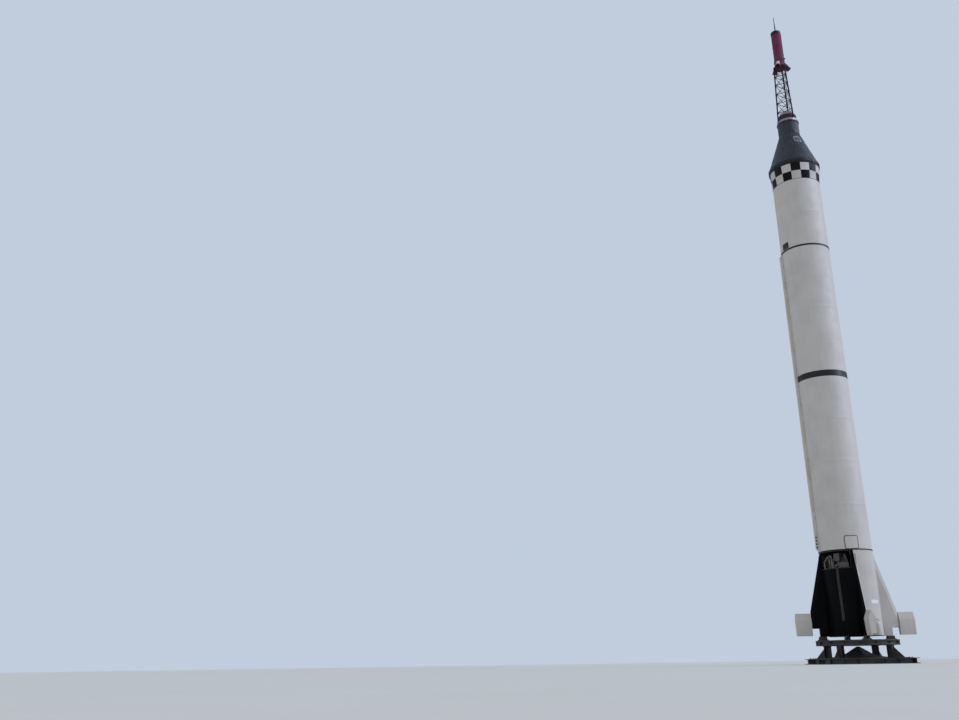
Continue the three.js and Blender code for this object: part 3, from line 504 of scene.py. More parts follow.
# Rolled sheet and castings, ground shafts that shine along their length, and sooted pipes
ALLOY = bare_metal("dull_rolled_alloy", "A9A9A6", "7E7F7E")
ROD = bare_metal("ground_steel_rod", "BDBDBD", "9B9C9C", (0.18, 0.32), (1, 1, 9))
DRAWN = bare_metal("tarnished_drawn_tube", "7C736C", "554D48", (0.3, 0.5), (1, 1, 5))

# %% [markdown]
# ## Finishes of the engine and the launch table
# Heat draws straw, brown and blue bands on a stainless bell, so its colour is a ramp along
# Z that noise makes uneven. The vanes are pressed graphite. Primers and greys round the
# engine are dulled by soot. The table is structural steel in old dark paint, with rust
# breaking through where water stands.

# %% Heat-stained steel
def heat_stained_steel(low, high):
    """Stainless bell: soot at the mouth, then brown, straw and blue tints, clean at the top."""
    made, tree, sockets = finish("heat_stained_steel", Metallic=0.85)
    z = add(tree, "SeparateXYZ", [add(tree, "TexCoord", output="Object")], "Z")
    height = add(tree, "MapRange", [z, low, high])
    drift = add(tree, "Math", [grain(tree, 150), 0.22, height], operation="MULTIPLY_ADD")
    tint = add(tree, "ValToRGB", [drift])
    tints = ((0.05, "1E1C1B"), (0.3, "4A423C"), (0.5, "6B5F52"), (0.7, "5C5E66"), (0.95, "83807A"))
    stops = tint.node.color_ramp.elements
    while len(stops) < len(tints):
        stops.new(0.5)
    for stop, (where, code) in zip(stops, tints):
        stop.position, stop.color = where, colour(code)
    tree.links.new(tint, sockets["Base Color"])
    rolled = grain(tree, 12, (1, 1, 6), 3.0)
    tree.links.new(add(tree, "MapRange", [rolled, 0.3, 0.7, 0.32, 0.55]), sockets["Roughness"])
    tree.links.new(add(tree, "Bump", {"Strength": 0.25, "Distance": 0.001, "Height": rolled}),
                   sockets["Normal"])
    return made


STAINED = heat_stained_steel(*span("nozzle"))

# %% Graphite, soot, painted fittings and table steel
# Pressed graphite, nearly black, with a dull sheen along its machined faces
GRAPHITE = painted("machined_graphite", ("1A1A1C", "29292C", "343231"), 0.4, (0.55, 0.75))
# Primers and greys of the engine's bay, matt under soot: they read as dark shapes on black
PRIMER = painted("dark_primer", ("2B2C2A", "363734", "45423D"))
BROWN = painted("sooted_brown_primer", ("2A2422", "352E2B", "191614"), 0.5, (0.5, 0.7))
GREY_SOOT = painted("sooted_grey_paint", ("5B5451", "4A4441", "2B2725"), 0.6, (0.5, 0.7))
# Grey paint of the canister, clean white paint of a sign, and rubber that drinks the light
DUCT = painted("duct_grey_paint", ("87848B", "787680", "4F4C50"))
SIGN_WHITE = painted("clean_white_paint", ("E4E0D7", "D8D4CC", "B5B1A9"), 0.2, (0.4, 0.6))
RUBBER = painted("black_rubber", ("161616", "212121", "3A3936"), 0.4, (0.6, 0.85))


def table_steel():
    """Structural steel in old dark paint: rust breaks through it in patches of a hand's size."""
    made, tree, sockets = finish("worn_structural_steel")
    old_paint = weathered(tree, sockets, *colours("2E2D2C", "3C3A37", "595148"), 0.7, (0.5, 0.8), 0.15)
    rust = add(tree, "MapRange", [grain(tree, 140, detail=9.0, rough=0.7), 0.56, 0.68])
    layers = {FACTOR: rust, FIRST: old_paint, SECOND: colour("4B2E1E")}
    tree.links.new(add(tree, "Mix", layers, MIXED, data_type="RGBA"), sockets["Base Color"])
    return made


# %% [markdown]
# ## Cloth and glass
# The couch liner is a plain weave. Warp and weft are two sine waves at right angles, and
# their product is the over and under of the threads. The thread spacing is drawn at 8 mm,
# coarser than the real 1 mm, so that it shows. The window is thick polished glass.

# %% Couch cloth and window glass
def couch_cloth():
    """Woven nylon liner: grey green, with sheen at grazing light and a plain weave."""
    made, tree, sockets = finish("woven_nylon_liner", Sheen_Weight=0.3, Roughness=0.9)
    place = add(tree, "TexCoord", output="Object")
    waves = []
    for axis in "XY":
        along = add(tree, "SeparateXYZ", [place], axis)
        phase = add(tree, "Math", [along, 2 * np.pi / 0.008], operation="MULTIPLY")
        waves.append(add(tree, "Math", [phase], operation="SINE"))
    weave = add(tree, "Math", waves, operation="MULTIPLY")
    shade = add(tree, "MapRange", [weave, -1.0, 1.0])
    layers = {FACTOR: shade, FIRST: colour("5C6159"), SECOND: colour("747A70")}
    tree.links.new(add(tree, "Mix", layers, MIXED, data_type="RGBA"), sockets["Base Color"])
    tree.links.new(add(tree, "Bump", {"Strength": 0.4, "Distance": 0.001, "Height": weave}),
                   sockets["Normal"])
    return made


def window_glass():
    """Thick polished glass: dark cabin behind it, with dust in broad patches."""
    made, tree, sockets = finish("polished_window_glass", Transmission_Weight=0.85, IOR=1.5)
    dust = add(tree, "MapRange", [grain(tree, 90), 0.4, 0.75])
    layers = {FACTOR: dust, FIRST: colour("A9B4BA"), SECOND: colour("7C858A")}
    tree.links.new(add(tree, "Mix", layers, MIXED, data_type="RGBA"), sockets["Base Color"])
    tree.links.new(add(tree, "MapRange", [dust, 0.0, 1.0, 0.03, 0.22]), sockets["Roughness"])
    return made


STEEL, CLOTH, GLASS = table_steel(), couch_cloth(), window_glass()
print("materials", len(bpy.data.materials))

# %% [markdown]
# ## Camera, floor and light
# The photograph was taken from low down and well to the rocket's left, with the camera
# tilted up, so the rocket stands right of the middle and leans outwards. The camera here
# keeps that: it stands at floor level at the photograph's distance and azimuth, looks
# past the rocket by the same sort of angle, and only its lens is longer.

# %% Camera
DISTANCE, VIEW_AZIMUTH, CAMERA_HEIGHT = 35.69, -16.0, 0.15
TILT, PAN, ROLL = 18.15, 21.0, 0.85
FRAME_WIDTH, FOCAL_PIXELS = 959, 930
FLAT, TURN, LIFT, BANK = (np.radians(v) for v in (VIEW_AZIMUTH, PAN, TILT, ROLL))
towards = np.array([-np.sin(FLAT), np.cos(FLAT), 0])
sideways = np.array([np.cos(FLAT), np.sin(FLAT), 0])
UPRIGHT = np.array([0, 0, 1])
ahead = np.cos(TURN) * towards - np.sin(TURN) * sideways
level = np.cos(TURN) * sideways + np.sin(TURN) * towards
gaze = np.cos(LIFT) * ahead + np.sin(LIFT) * UPRIGHT
crown = np.cross(level, gaze)
right = np.cos(BANK) * level - np.sin(BANK) * crown
up = np.cos(BANK) * crown + np.sin(BANK) * level
lens = bpy.data.cameras.new("camera")
lens.sensor_width = 36
lens.lens = FOCAL_PIXELS / FRAME_WIDTH * lens.sensor_width
lens.clip_end = 500
camera = bpy.data.objects.new("camera", lens)
pose = np.eye(4)
pose[:3, 0], pose[:3, 1], pose[:3, 2] = right, up, -gaze
pose[:3, 3] = -DISTANCE * towards + CAMERA_HEIGHT * UPRIGHT
camera.matrix_world = Matrix(pose.tolist())
bpy.context.scene.collection.objects.link(camera)
bpy.context.scene.camera = camera
print("lens", round(lens.lens, 2), "mm at", [round(v, 2) for v in camera.location])


# %% Floor
def floor_finish():
    """Pale matt floor with a faint cloudy tone."""
    made, tree, sockets = finish("pale_matt_floor", Roughness=0.8)
    layers = {FACTOR: grain(tree, 1500), FIRST: colour("CEC9BE"), SECOND: colour("D5D0C6")}
    tree.links.new(add(tree, "Mix", layers, MIXED, data_type="RGBA"), sockets["Base Color"])
    return made


FLOOR_R = 160
floor_points = around(np.arange(96)[None, :] * 3.75, np.array([0.0, 8.0, 40.0, FLOOR_R])[:, None], 0.0)
floor = piece("floor", grid(floor_points, close_columns=True), floor_finish(), body=None)
floor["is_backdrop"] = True


# %% Light
def sun(name, power, tint, azimuth, height, softness):
    """Broad sun lamp that shines from an azimuth and a height above the horizon."""
    lamp = bpy.data.lights.new(name, "SUN")
    lamp.energy, lamp.color, lamp.angle = power, colour(tint)[:3], np.radians(softness)
    made = bpy.data.objects.new(name, lamp)
    source = around(azimuth, np.cos(np.radians(height)), np.sin(np.radians(height)))
    hinge = np.cross(UPRIGHT, source)
    made.matrix_world = Matrix.Rotation(np.arccos(source[2]), 4, hinge.tolist())
    bpy.context.scene.collection.objects.link(made)


sun("key_light", 1.9, "D8E2FF", 79, 28, 40)
sun("front_fill", 0.12, "FFEEDC", -56, 30, 60)
sky = bpy.data.worlds.new("studio_sky")
sky.use_nodes = True
sky.node_tree.nodes.clear()
glow = add(sky.node_tree, "Background", {"Color": colour("C1CDDC"), "Strength": 1.0})
add(sky.node_tree, "OutputWorld", {"Surface": glow})
bpy.context.scene.world = sky
bpy.context.scene.view_settings.view_transform = "Standard"


# %% [markdown]
# ## Small parts that repeat
# Rivets, bolts and screws are one small shape, repeated by an array of matrices, so a row
# of a hundred costs one line. A patch of curved skin is a grid in azimuth and height whose
# half width shrinks by a quarter circle near its ends, which rounds its corners.

# %% Rows and rings of fasteners
RIVET = dome(0.008, 0.0035, 6)
SCREW = dome(0.006, 0.003, 6)


def ring_of(shape, radius, height, count, start=0.0, tilt=0.0):
    """Shape repeated evenly round a wall at one height."""
    return repeated(shape, facing(start + np.arange(count) * 360 / count, radius, height, tilt))


def column_of(shape, azimuth, radius, low, high, count):
    """Shape repeated up a wall at one azimuth."""
    return repeated(shape, facing(azimuth, radius, np.linspace(low, high, count)))


def standing(shape, x, y, z):
    """Shape drawn towards -Y, turned to point up and set on a level face."""
    corners, faces = shape
    return np.stack([corners[:, 0], corners[:, 2], z - corners[:, 1]], 1) + (x, y, 0), faces


# %% Patches, strips and beads
def patch(azimuth, half, low, high, radius, corner=0.0, rows=14, columns=14):
    """Curved patch: rows crowd towards the ends, where a quarter circle rounds the corners."""
    z = low + (high - low) * (1 - np.cos(np.linspace(0, np.pi, rows))) / 2
    r = np.array([radius(v) for v in z]) if callable(radius) else np.full(rows, radius)
    inset = np.clip(corner - np.minimum(z - low, high - z), 0, corner)
    width = np.radians(half) * r - corner + np.sqrt(corner**2 - inset**2)
    across = np.linspace(-1, 1, columns)
    turn = azimuth + np.degrees(across[None, :] * (width / r)[:, None])
    return grid(around(turn, r[:, None], z[:, None]))


def frame_strip(azimuth, half, low, high, radius, border):
    """Flat strip round an opening: the grid's cells inside the opening are left out."""
    margin = np.degrees(border / radius)
    turn = np.concatenate([[azimuth - half - margin], np.linspace(azimuth - half, azimuth + half, 13),
                           [azimuth + half + margin]])
    z = np.concatenate([[low - border], np.linspace(low, high, 9), [high + border]])
    points = around(turn[None, :], radius, z[:, None])
    keep = np.ones((len(z) - 1, len(turn) - 1), bool)
    keep[1:-1, 1:-1] = False
    return grid(points, keep=keep)


def lipped(radius, z, height, proud):
    """Profile points of a rolled bead: a half wave that stands proud of a wall."""
    t = np.linspace(0, 1, 7)
    return list(zip(radius + proud * np.sin(np.pi * t), z + height * (t - 0.5)))


# %% [markdown]
# ## Tanks and instrument section
# The body is a welded alloy tube. Each section is a turned wall whose profile carries the
# beads of its round welds, and a lip where it is bolted to the next. Thin skin between
# frames is never quite round, so each point moves in or out by half a millimetre or so, by
# a sum of a few seeded waves in azimuth and height. Both ends are closed.

# %% Skins with welds, lips and a slight buckle
rng = np.random.default_rng(11)
WAVES = rng.uniform((3, 1.2, 0), (9, 5.5, 2 * np.pi), (9, 3))
WAVES[:, 0] = np.round(WAVES[:, 0])
BUCKLE = 0.0006
WELD_PROUD = 0.0014


def buckle(azimuth, height):
    """Sum of seeded waves: cosine of whole turns in azimuth and of cycles in height."""
    a, z = np.broadcast_arrays(np.radians(azimuth)[..., None], height[..., None])
    turns, cycles, phase = WAVES.T
    return BUCKLE * (np.cos(turns * a + phase) * np.sin(cycles * z + 2 * phase)).sum(-1) / 2


def skin(low, high, welds, lip=0.0, seam=None):
    """Body section: closed drum with weld beads, a proud lip at its foot and one long seam."""
    profile = [(BODY_R - 0.006, low), (BODY_R + lip, low + 0.006)]
    if lip:
        profile += [(BODY_R + lip, low + 0.034), (BODY_R, low + 0.042)]
    levels = np.arange(low + 0.1, high - 0.05, 0.12)
    levels = [z for z in levels if all(abs(z - w) > 0.03 for w in welds)]
    profile += [(BODY_R, z) for z in levels]
    for w in welds:
        profile += lipped(BODY_R, w, 0.02, WELD_PROUD)
    profile = sorted(profile, key=lambda point: point[1]) + [(BODY_R, high - 0.006), (BODY_R - 0.006, high)]
    r, z = np.array(profile).T
    azimuth = np.arange(168) * 360 / 168
    free = ((r > BODY_R - 0.001) & (r <= BODY_R + WELD_PROUD))[:, None]
    bent = r[:, None] + free * buckle(azimuth[None, :], z[:, None])
    ends = [np.zeros((1, len(azimuth), 3)) + (0, 0, end) for end in (low, high)]
    points = np.concatenate([ends[0], around(azimuth[None, :], bent, z[:, None]), ends[1]])
    shapes = [grid(points, close_columns=True)]
    if seam is not None:
        along = np.linspace(low + 0.06, high - 0.02, 40)
        shapes.append(tube(around(seam, BODY_R, along), 0.0022, 6))
    return shapes


# %% Tanks, instrument section and band
def section(node, welds, material, lip=0.0, seam=None, extra=()):
    """Finished body section in a frame node's place."""
    shapes = skin(*span(node), welds, lip, seam) + list(extra)
    piece(node + "_skin", shapes, material, nodes=(node,))


# Columns: frame node, spacing of its round welds, how proud its foot stands, azimuth of its long seam
SECTIONS = (
    ("lower_tank", 2.0, 0.008, 152),
    ("upper_tank", 1.65, 0.0, 128),
    ("instrument_section", 2.6, 0.008, -118),
)
for node, spacing, lip, seam in SECTIONS:
    low, high = span(node)
    count = int((high - low) / spacing)
    welds = [low + (high - low) * (i + 1) / (count + 1) for i in range(count)]
    rows = [ring_of(RIVET, BODY_R + 0.001, z, 84) for z in (low + 0.055, high - 0.028)]
    section(node, welds, WHITE, lip, seam, rows)
section("middle_band", [], BLACK)


# %% [markdown]
# ## Joint rings, adapter and clamp
# Where two sections are joined, a slim bolted ring lies under a black strap that laps over
# both. The adapter widens slowly from the body to the capsule, with a bead of dark sealant
# under its foot. Over it a V-shaped clamp in twelve shoes holds the capsule down, with a
# bolt in each gap between shoes.

# %% Joint rings
def groove(node, count, lap):
    """Slim drum between two sections, with a ring of bolts and a black strap that laps over both."""
    (low, high), r = span(node), reach(node)
    bolts = ring_of(hexagon_head(0.016, 0.006), r, (low + high) / 2, count)
    strap = hoop(r - 0.01, BODY_R + 0.01, low - lap, high + lap, 168)
    piece(node + "_groove", [drum(r, low, high, 168, 0.002), bolts, strap], BLACK, nodes=(node,))


groove("tail_joint_ring", 64, 0.008)
groove("separation_ring", 48, 0.014)

# %% Adapter
(ADAPTER_LOW, ADAPTER_HIGH), ADAPTER_R = span("adapter"), reach("adapter")
(CLAMP_LOW, CLAMP_HIGH), CLAMP_R = span("clamp_ring"), reach("clamp_ring")
middle = (ADAPTER_LOW + ADAPTER_HIGH) / 2
profile = above(ADAPTER_LOW, (0, 0), (BODY_R - 0.004, 0), (BODY_R, 0.005))
profile += lipped(BODY_R + (ADAPTER_R - BODY_R) / 2, middle, 0.02, 0.0025)
profile += above(ADAPTER_HIGH, (ADAPTER_R, -0.012), (ADAPTER_R - 0.004, 0), (0, 0))
LEAN = np.degrees(np.arctan2(ADAPTER_R - BODY_R, ADAPTER_HIGH - ADAPTER_LOW))
rivets = [ring_of(RIVET, BODY_R + 0.003, ADAPTER_LOW + 0.04, 96, tilt=-LEAN),
          ring_of(RIVET, ADAPTER_R - 0.004, ADAPTER_HIGH - 0.05, 96, tilt=-LEAN)]
piece("adapter_skin", [turned(profile, 168), *rivets],
      checkered_enamel(ADAPTER_LOW - 1, middle, ADAPTER_HIGH - 0.02), nodes=("adapter",))

sealant = hoop(BODY_R - 0.01, BODY_R + 0.002, ADAPTER_LOW - 0.008, ADAPTER_LOW + 0.008, 168)
piece("adapter_sealant", sealant, RUBBER)

# %% Clamp of the capsule
SHOES = 12
shoe_edges = np.linspace(1.2, 360 / SHOES - 1.2, 9)
low, high = CLAMP_LOW + 0.05, CLAMP_HIGH - 0.04
section_r = CLAMP_R - np.array([0.022, 0.004, 0, 0, 0.004, 0.022])
section_z = np.array([low - 0.006, low - 0.006, low, high, high + 0.006, high + 0.006])
shoe = capped(around(shoe_edges[:, None], section_r[None, :], section_z[None, :]))
core = turned([(0, CLAMP_LOW), (ADAPTER_R, CLAMP_LOW), (CLAMP_R - 0.016, low), (CLAMP_R - 0.016, high),
               (ADAPTER_R, CLAMP_HIGH), (0, CLAMP_HIGH)], 120)
spin = facing(np.arange(SHOES) * 360 / SHOES, 0, 0)
bolts = ring_of(hexagon_head(0.026, 0.012), CLAMP_R - 0.014, (low + high) / 2, SHOES)
piece("capsule_clamp", [core, repeated(shoe, spin), bolts], BLACK, nodes=("clamp_ring",))

# %% [markdown]
# ## Capsule
# The capsule is a hollow cone skinned with beaded shingles. The wall is a grid in azimuth
# and height: each row of shingles laps over the one below, and its beads are a cosine in
# azimuth that fades out near every edge. Cells inside the hatch and the window are left
# out, and a Solidify modifier gives the wall its thickness, edges of the openings included.

# %% Cone and its openings
CONE_LOW, CONE_HIGH = span("capsule_shell")
CONE_R, NECK_R = reach("capsule_shell"), 0.41
CABIN_WALL, CONE_TILT = 0.043, 20
BEADS, SHINGLE_ROWS = 96, 4


def opening(azimuth, half, low, high):
    """Opening in the cone: azimuth of its middle and half width in degrees, lower and upper height."""
    return {"azimuth": azimuth, "half": half, "low": low, "high": high}


HATCH, WINDOW = opening(62, 21.5, *span("capsule_hatch")), opening(15, 14.2, 19.9, 20.2)


def cone(z):
    """Radius of the capsule's cone at a height."""
    return CONE_R + (NECK_R - CONE_R) * (z - CONE_LOW) / (CONE_HIGH - CONE_LOW)


# %% Radius with laps and beads
def away_from(value, low, high, fade):
    """Zero inside a range and one outside, past a fading margin."""
    return np.clip(np.maximum(low - value, value - high) / fade, 0, 1)


def beaded(azimuth, z):
    """Radius with laps and beads: rows step out by 4 mm at their foot, and beads fade at edges."""
    t = (z - CONE_LOW) / (CONE_HIGH - CONE_LOW) * SHINGLE_ROWS % 1
    lap = 0.004 * (1 - t)
    fade = np.clip(np.minimum(t, 1 - t) / 0.12, 0, 1)
    for gap in (HATCH, WINDOW):
        beside = away_from(azimuth, gap["azimuth"] - gap["half"], gap["azimuth"] + gap["half"], 3)
        beyond = away_from(z, gap["low"], gap["high"], 0.05)
        fade = fade * np.maximum(beside, beyond)
    return cone(z) - 0.007 + lap + 0.0028 * fade * np.cos(np.radians(azimuth) * BEADS)


def shingled(azimuth, z, gaps=()):
    """Grid of the beaded cone, with the cells of the openings left out."""
    keep = np.ones((len(z) - 1, len(azimuth) - 1), bool)
    mid_a, mid_z = (azimuth[1:] + azimuth[:-1]) / 2, (z[1:] + z[:-1]) / 2
    for gap in gaps:
        beside = np.abs(mid_a - gap["azimuth"]) < gap["half"]
        keep &= ~(beside[None, :] & ((mid_z > gap["low"]) & (mid_z < gap["high"]))[:, None])
    return grid(around(azimuth[None, :], beaded(azimuth[None, :], z[:, None]), z[:, None]), keep=keep)


# %% Shingled wall and its screws
steps = np.arange(-180, 180.01, 360 / BEADS / 4)
edges = [gap["azimuth"] + side * gap["half"] for gap in (HATCH, WINDOW) for side in (-1, 1)]
azimuth = np.unique(np.concatenate([steps, edges]))
row = (CONE_HIGH - CONE_LOW) / SHINGLE_ROWS
marks = np.array([0.001, 0.06, 0.12, 0.5, 0.88, 0.94, 0.999])
levels = CONE_LOW + row * (np.arange(SHINGLE_ROWS)[:, None] + marks).ravel()
z = np.unique(np.concatenate([levels, [g[end] for g in (HATCH, WINDOW) for end in ("low", "high")]]))
piece("capsule_shingles", shingled(azimuth, z, (HATCH, WINDOW)), SHINGLE_AND_SHEEN, nodes=("capsule_shell",),
      wall=CABIN_WALL)
screw_levels = CONE_LOW + row * np.arange(SHINGLE_ROWS) + 0.02
screws = [ring_of(SCREW, cone(level) - 0.001, level, 72, tilt=CONE_TILT) for level in screw_levels]
piece("shingle_screws", screws, ALLOY)

# %% Floor, roof and hatch of the capsule
inside = cone(CONE_LOW + 0.03) - CABIN_WALL - 0.008
piece("cabin_floor", drum(inside, CONE_LOW + 0.002, CONE_LOW + 0.06, 96), PRIMER)
roof = drum(cone(CONE_HIGH) - 0.012, CONE_HIGH - 0.12, CONE_HIGH - 0.002, 96)
piece("cabin_roof", roof, PRIMER)
hatch_a = HATCH["azimuth"] + np.linspace(-1, 1, 61) * (HATCH["half"] - 0.12)
hatch_z = np.linspace(HATCH["low"] + 0.001, HATCH["high"] - 0.001, 17)
piece("hatch_panel", shingled(hatch_a, hatch_z), SHINGLE_AND_SHEEN, nodes=("capsule_hatch",),
      wall=CABIN_WALL - 0.001)
HATCH_BOLT = hexagon_head(0.014, 0.006)
hatch_bolts = []
for end, count in ((HATCH["low"] + 0.03, 15), (HATCH["high"] - 0.03, 10)):
    across = HATCH["azimuth"] + np.linspace(-1, 1, count) * (HATCH["half"] - 1.8)
    hatch_bolts.append(repeated(HATCH_BOLT, facing(across, cone(end) - 0.004, end, CONE_TILT)))
up_side = np.linspace(HATCH["low"] + 0.07, HATCH["high"] - 0.07, 14)
for side in (-1, 1):
    places = facing(HATCH["azimuth"] + side * (HATCH["half"] - 1.8), cone(up_side) - 0.004, up_side,
                    CONE_TILT)
    hatch_bolts.append(repeated(HATCH_BOLT, places))
piece("hatch_bolts", hatch_bolts, ALLOY)

# %% Window of the capsule
pane_z = np.linspace(WINDOW["low"] + 0.002, WINDOW["high"] - 0.002, 9)
pane_a = WINDOW["azimuth"] + np.linspace(-1, 1, 15) * (WINDOW["half"] - 0.1)
pane = grid(around(pane_a[None, :], cone(pane_z)[:, None] - 0.014, pane_z[:, None]))
piece("window_glass", pane, GLASS, nodes=("window_pane",), wall=0.014)
turn_w = np.array([-1.0, -0.86, -0.5, 0, 0.5, 0.86, 1.0]) * WINDOW["half"] + WINDOW["azimuth"]
window_middle = (WINDOW["low"] + WINDOW["high"]) / 2
z_w = np.array([WINDOW["low"], WINDOW["low"] + 0.03, window_middle, WINDOW["high"] - 0.03, WINDOW["high"]])
keep = np.ones((len(z_w) - 1, len(turn_w) - 1), bool)
keep[1:-1, 1:-1] = False
window_rim = grid(around(turn_w[None, :], cone(z_w)[:, None] - 0.002, z_w[:, None]), keep=keep)
piece("window_frame", window_rim, ALLOY, wall=0.012, bevel=0.002)

# %% [markdown]
# ## Cabin
# The couch is moulded to a lying back: its liner is a surface over length and width whose
# height is a profile of seat, small of the back and head rest, raised at both sides. The
# instrument panel hangs across the cabin over it, with rims for the dials and no lettering.

# %% Couch
COUCH_LOW, COUCH_HIGH = corners_of("couch")
u, v = np.linspace(0, 1, 40)[:, None], np.linspace(-1, 1, 25)[None, :]
# Middle line of the couch: shares of its length, and its height there as a share of the whole
lengths = [0, 0.06, 0.12, 0.16, 0.22, 0.45, 0.62, 0.85, 0.92, 1]
heights = [0.96, 1, 0.92, 0.42, 0.3, 0.36, 0.3, 0.33, 0.48, 0.46]
spine = np.interp(u, lengths, heights)
side_rise = 0.16 * np.abs(v) ** 4 * np.clip(1 - 6 * np.abs(u - 0.1) ** 2, 0.4, 1)
top = COUCH_LOW[Z] + (COUCH_HIGH[Z] - COUCH_LOW[Z]) * np.clip(spine + side_rise * (spine < 0.6), 0.05, 1)
x = COUCH_HIGH[X] * v * (1 - 0.03 * np.abs(v) ** 8) + 0 * u
y = COUCH_LOW[Y] + (COUCH_HIGH[Y] - COUCH_LOW[Y]) * u + 0 * v
liner = grid(np.stack([x, y, top], -1))
couch = piece("couch_liner", liner, CLOTH, nodes=("couch",), wall=0.035)
legs = [cuboid((x - 0.015, y - 0.02, COUCH_LOW[Z]), (x + 0.015, y + 0.02, COUCH_LOW[Z] + 0.1))
        for x in (-0.2, 0.2) for y in (COUCH_LOW[Y] + 0.16, 0.05, COUCH_HIGH[Y] - 0.1)]
piece("couch_struts", legs, ALLOY, bevel=0.003)

# %% Instrument panel
PANEL_LOW, PANEL_HIGH = corners_of("instrument_panel")
half_widths = [np.sqrt((cone(end[Z]) - 0.06) ** 2 - PANEL_HIGH[Y] ** 2) for end in (PANEL_LOW, PANEL_HIGH)]
board = prism(mirrored([(half_widths[LOW], PANEL_LOW[Z]), (half_widths[HIGH], PANEL_HIGH[Z])]), 0.022)
board = moved(board, (0, (PANEL_LOW[Y] + PANEL_HIGH[Y]) / 2, 0))
profile = [(0, 0), (0.026, 0), (0.032, 0.004), (0.032, 0.012), (0.027, 0.012), (0.025, 0.006), (0, 0.006)]
corners, faces = turned(profile, 20)
dial_rim = (corners[:, [X, Z, Y]], faces)
DIAL_ROWS, DIAL_COLUMNS = (19.83, 19.93, 20.03), (-0.24, -0.16, -0.08, 0, 0.08, 0.16, 0.24)
dials = [moved(dial_rim, (x, PANEL_HIGH[Y] - 0.009, z)) for z in DIAL_ROWS for x in DIAL_COLUMNS]
# Boxes on the back of the board: (x, z) of their middles
BOX_PLACES = ((-0.18, 19.88), (0.0, 19.9), (0.17, 19.98))
boxes = [cuboid((x - 0.05, PANEL_LOW[Y] - 0.03, z - 0.035), (x + 0.05, PANEL_LOW[Y] + 0.012, z + 0.035))
         for x, z in BOX_PLACES]
piece("panel_board", [board, *boxes], PRIMER, nodes=("instrument_panel",), bevel=0.003)
piece("panel_dials", dials, RUBBER)

# %% [markdown]
# ## Recovery compartment, canister and tower base
# Above the cone stands a short drum with upright beads, then a rim, and on it the ring that
# the tower is clamped to. Inside that ring sits the grey canister of the antenna.

# %% Recovery compartment
def drum_with_beads(radius, low, high, count, depth, fade):
    """Wall whose radius follows a cosine in azimuth, flat near both ends, with a closed top and foot."""
    turn = np.arange(count * 6) * 60 / count
    z = np.concatenate([[low, low + fade * 0.6], np.linspace(low + fade, high - fade, 6),
                        [high - fade * 0.6, high]])
    flat = np.clip(np.minimum(z - low, high - z) / fade, 0, 1)
    flat = np.where(flat > 0.99, 1, 0)
    r = radius - depth + depth * flat[:, None] * np.cos(np.radians(turn) * count)[None, :]
    ends = [np.zeros((1, len(turn), 3)) + (0, 0, end) for end in (low, high)]
    return grid(np.concatenate([ends[0], around(turn[None, :], r, z[:, None]), ends[1]]), close_columns=True)


(RECOVERY_LOW, RECOVERY_HIGH), RIM_R = span("recovery_compartment"), reach("recovery_compartment")
rim_z = RECOVERY_HIGH - 0.07
profile = above(rim_z, (0, 0), (NECK_R - 0.004, 0), (RIM_R, 0.02))
profile += above(RECOVERY_HIGH, (RIM_R, -0.006), (RIM_R - 0.006, 0), (0, 0))
rim = turned(profile, 96)
profile = above(RECOVERY_LOW, (0, 0), (NECK_R, 0), (NECK_R, 0.03), (NECK_R - 0.006, 0.034), (0, 0.034))
foot = turned(profile, 96)
wall = drum_with_beads(NECK_R - 0.001, RECOVERY_LOW + 0.034, rim_z, 60, 0.003, 0.03)
piece("recovery_drum", [wall, rim, foot], SHINGLE_AND_SHEEN, nodes=("recovery_compartment",))
rim_bolts = [ring_of(hexagon_head(0.018, 0.007), RIM_R - 0.001, RECOVERY_HIGH - 0.027, 32),
             ring_of(SCREW, NECK_R, RECOVERY_LOW + 0.015, 40)]
piece("recovery_bolts", rim_bolts, ALLOY)

# %% Canister and tower base
CANISTER_LOW, CANISTER_HIGH = span("antenna_canister")
profile = above(CANISTER_LOW, (0, 0), (0.3, 0), (0.297, 0.1))
profile += lipped(0.296, CANISTER_LOW + 0.14, 0.03, 0.004) + lipped(0.293, CANISTER_LOW + 0.3, 0.03, 0.004)
profile += above(CANISTER_HIGH, (0.29, -0.085), (0.283, -0.06), (0.24, -0.008), (0.22, 0), (0, 0))
piece("antenna_cover", turned(profile, 72), DUCT, nodes=("antenna_canister",))
(RING_LOW, RING_HIGH), RING_R = span("tower_base_ring"), reach("tower_base_ring")
profile = above(RING_LOW, (0.315, 0), (RING_R, 0), (RING_R, 0.02), (RING_R - 0.02, 0.028))
profile += above(RING_HIGH, (RING_R - 0.02, -0.026), (RING_R - 0.011, -0.018), (RING_R - 0.011, 0),
                 (0.315, 0))
bolts = ring_of(hexagon_head(0.02, 0.008), RING_R - 0.019, RING_LOW + 0.046, 36)
piece("tower_clamp_ring", [turned(profile, 96, closed=True), bolts], ALLOY, nodes=("tower_base_ring",))

# %% [markdown]
# ## Escape tower
# Three leaning legs carry the motor. Between them run six levels of rungs and five of
# crossed braces, all round tube, welded. Each weld on a leg is a small collar, and so is
# each crossing of two braces. The tubes are a circle carried along a straight path.

# %% Sizes, struts and collars
LEG_AZIMUTHS = (-90, 30, 150)
LEG_FOOT_R, LEG_HEAD_R = 0.362, 0.248
LEG_TUBE, RUNG_TUBE, BRACE_TUBE = 0.028, 0.013, 0.01
LEVELS = BASE + np.array([20.69, 21.13, 21.57, 22.01, 22.41, 22.78])
HOOP_LOW, HOOP_HIGH = BASE + 20.262, BASE + 20.45
TOWER_LOW, TOWER_HIGH = span("escape_tower")


def leg_r(z):
    """Distance of a leg's centre line from the axis at a height."""
    return LEG_FOOT_R + (LEG_HEAD_R - LEG_FOOT_R) * (z - TOWER_LOW) / (TOWER_HIGH - TOWER_LOW)


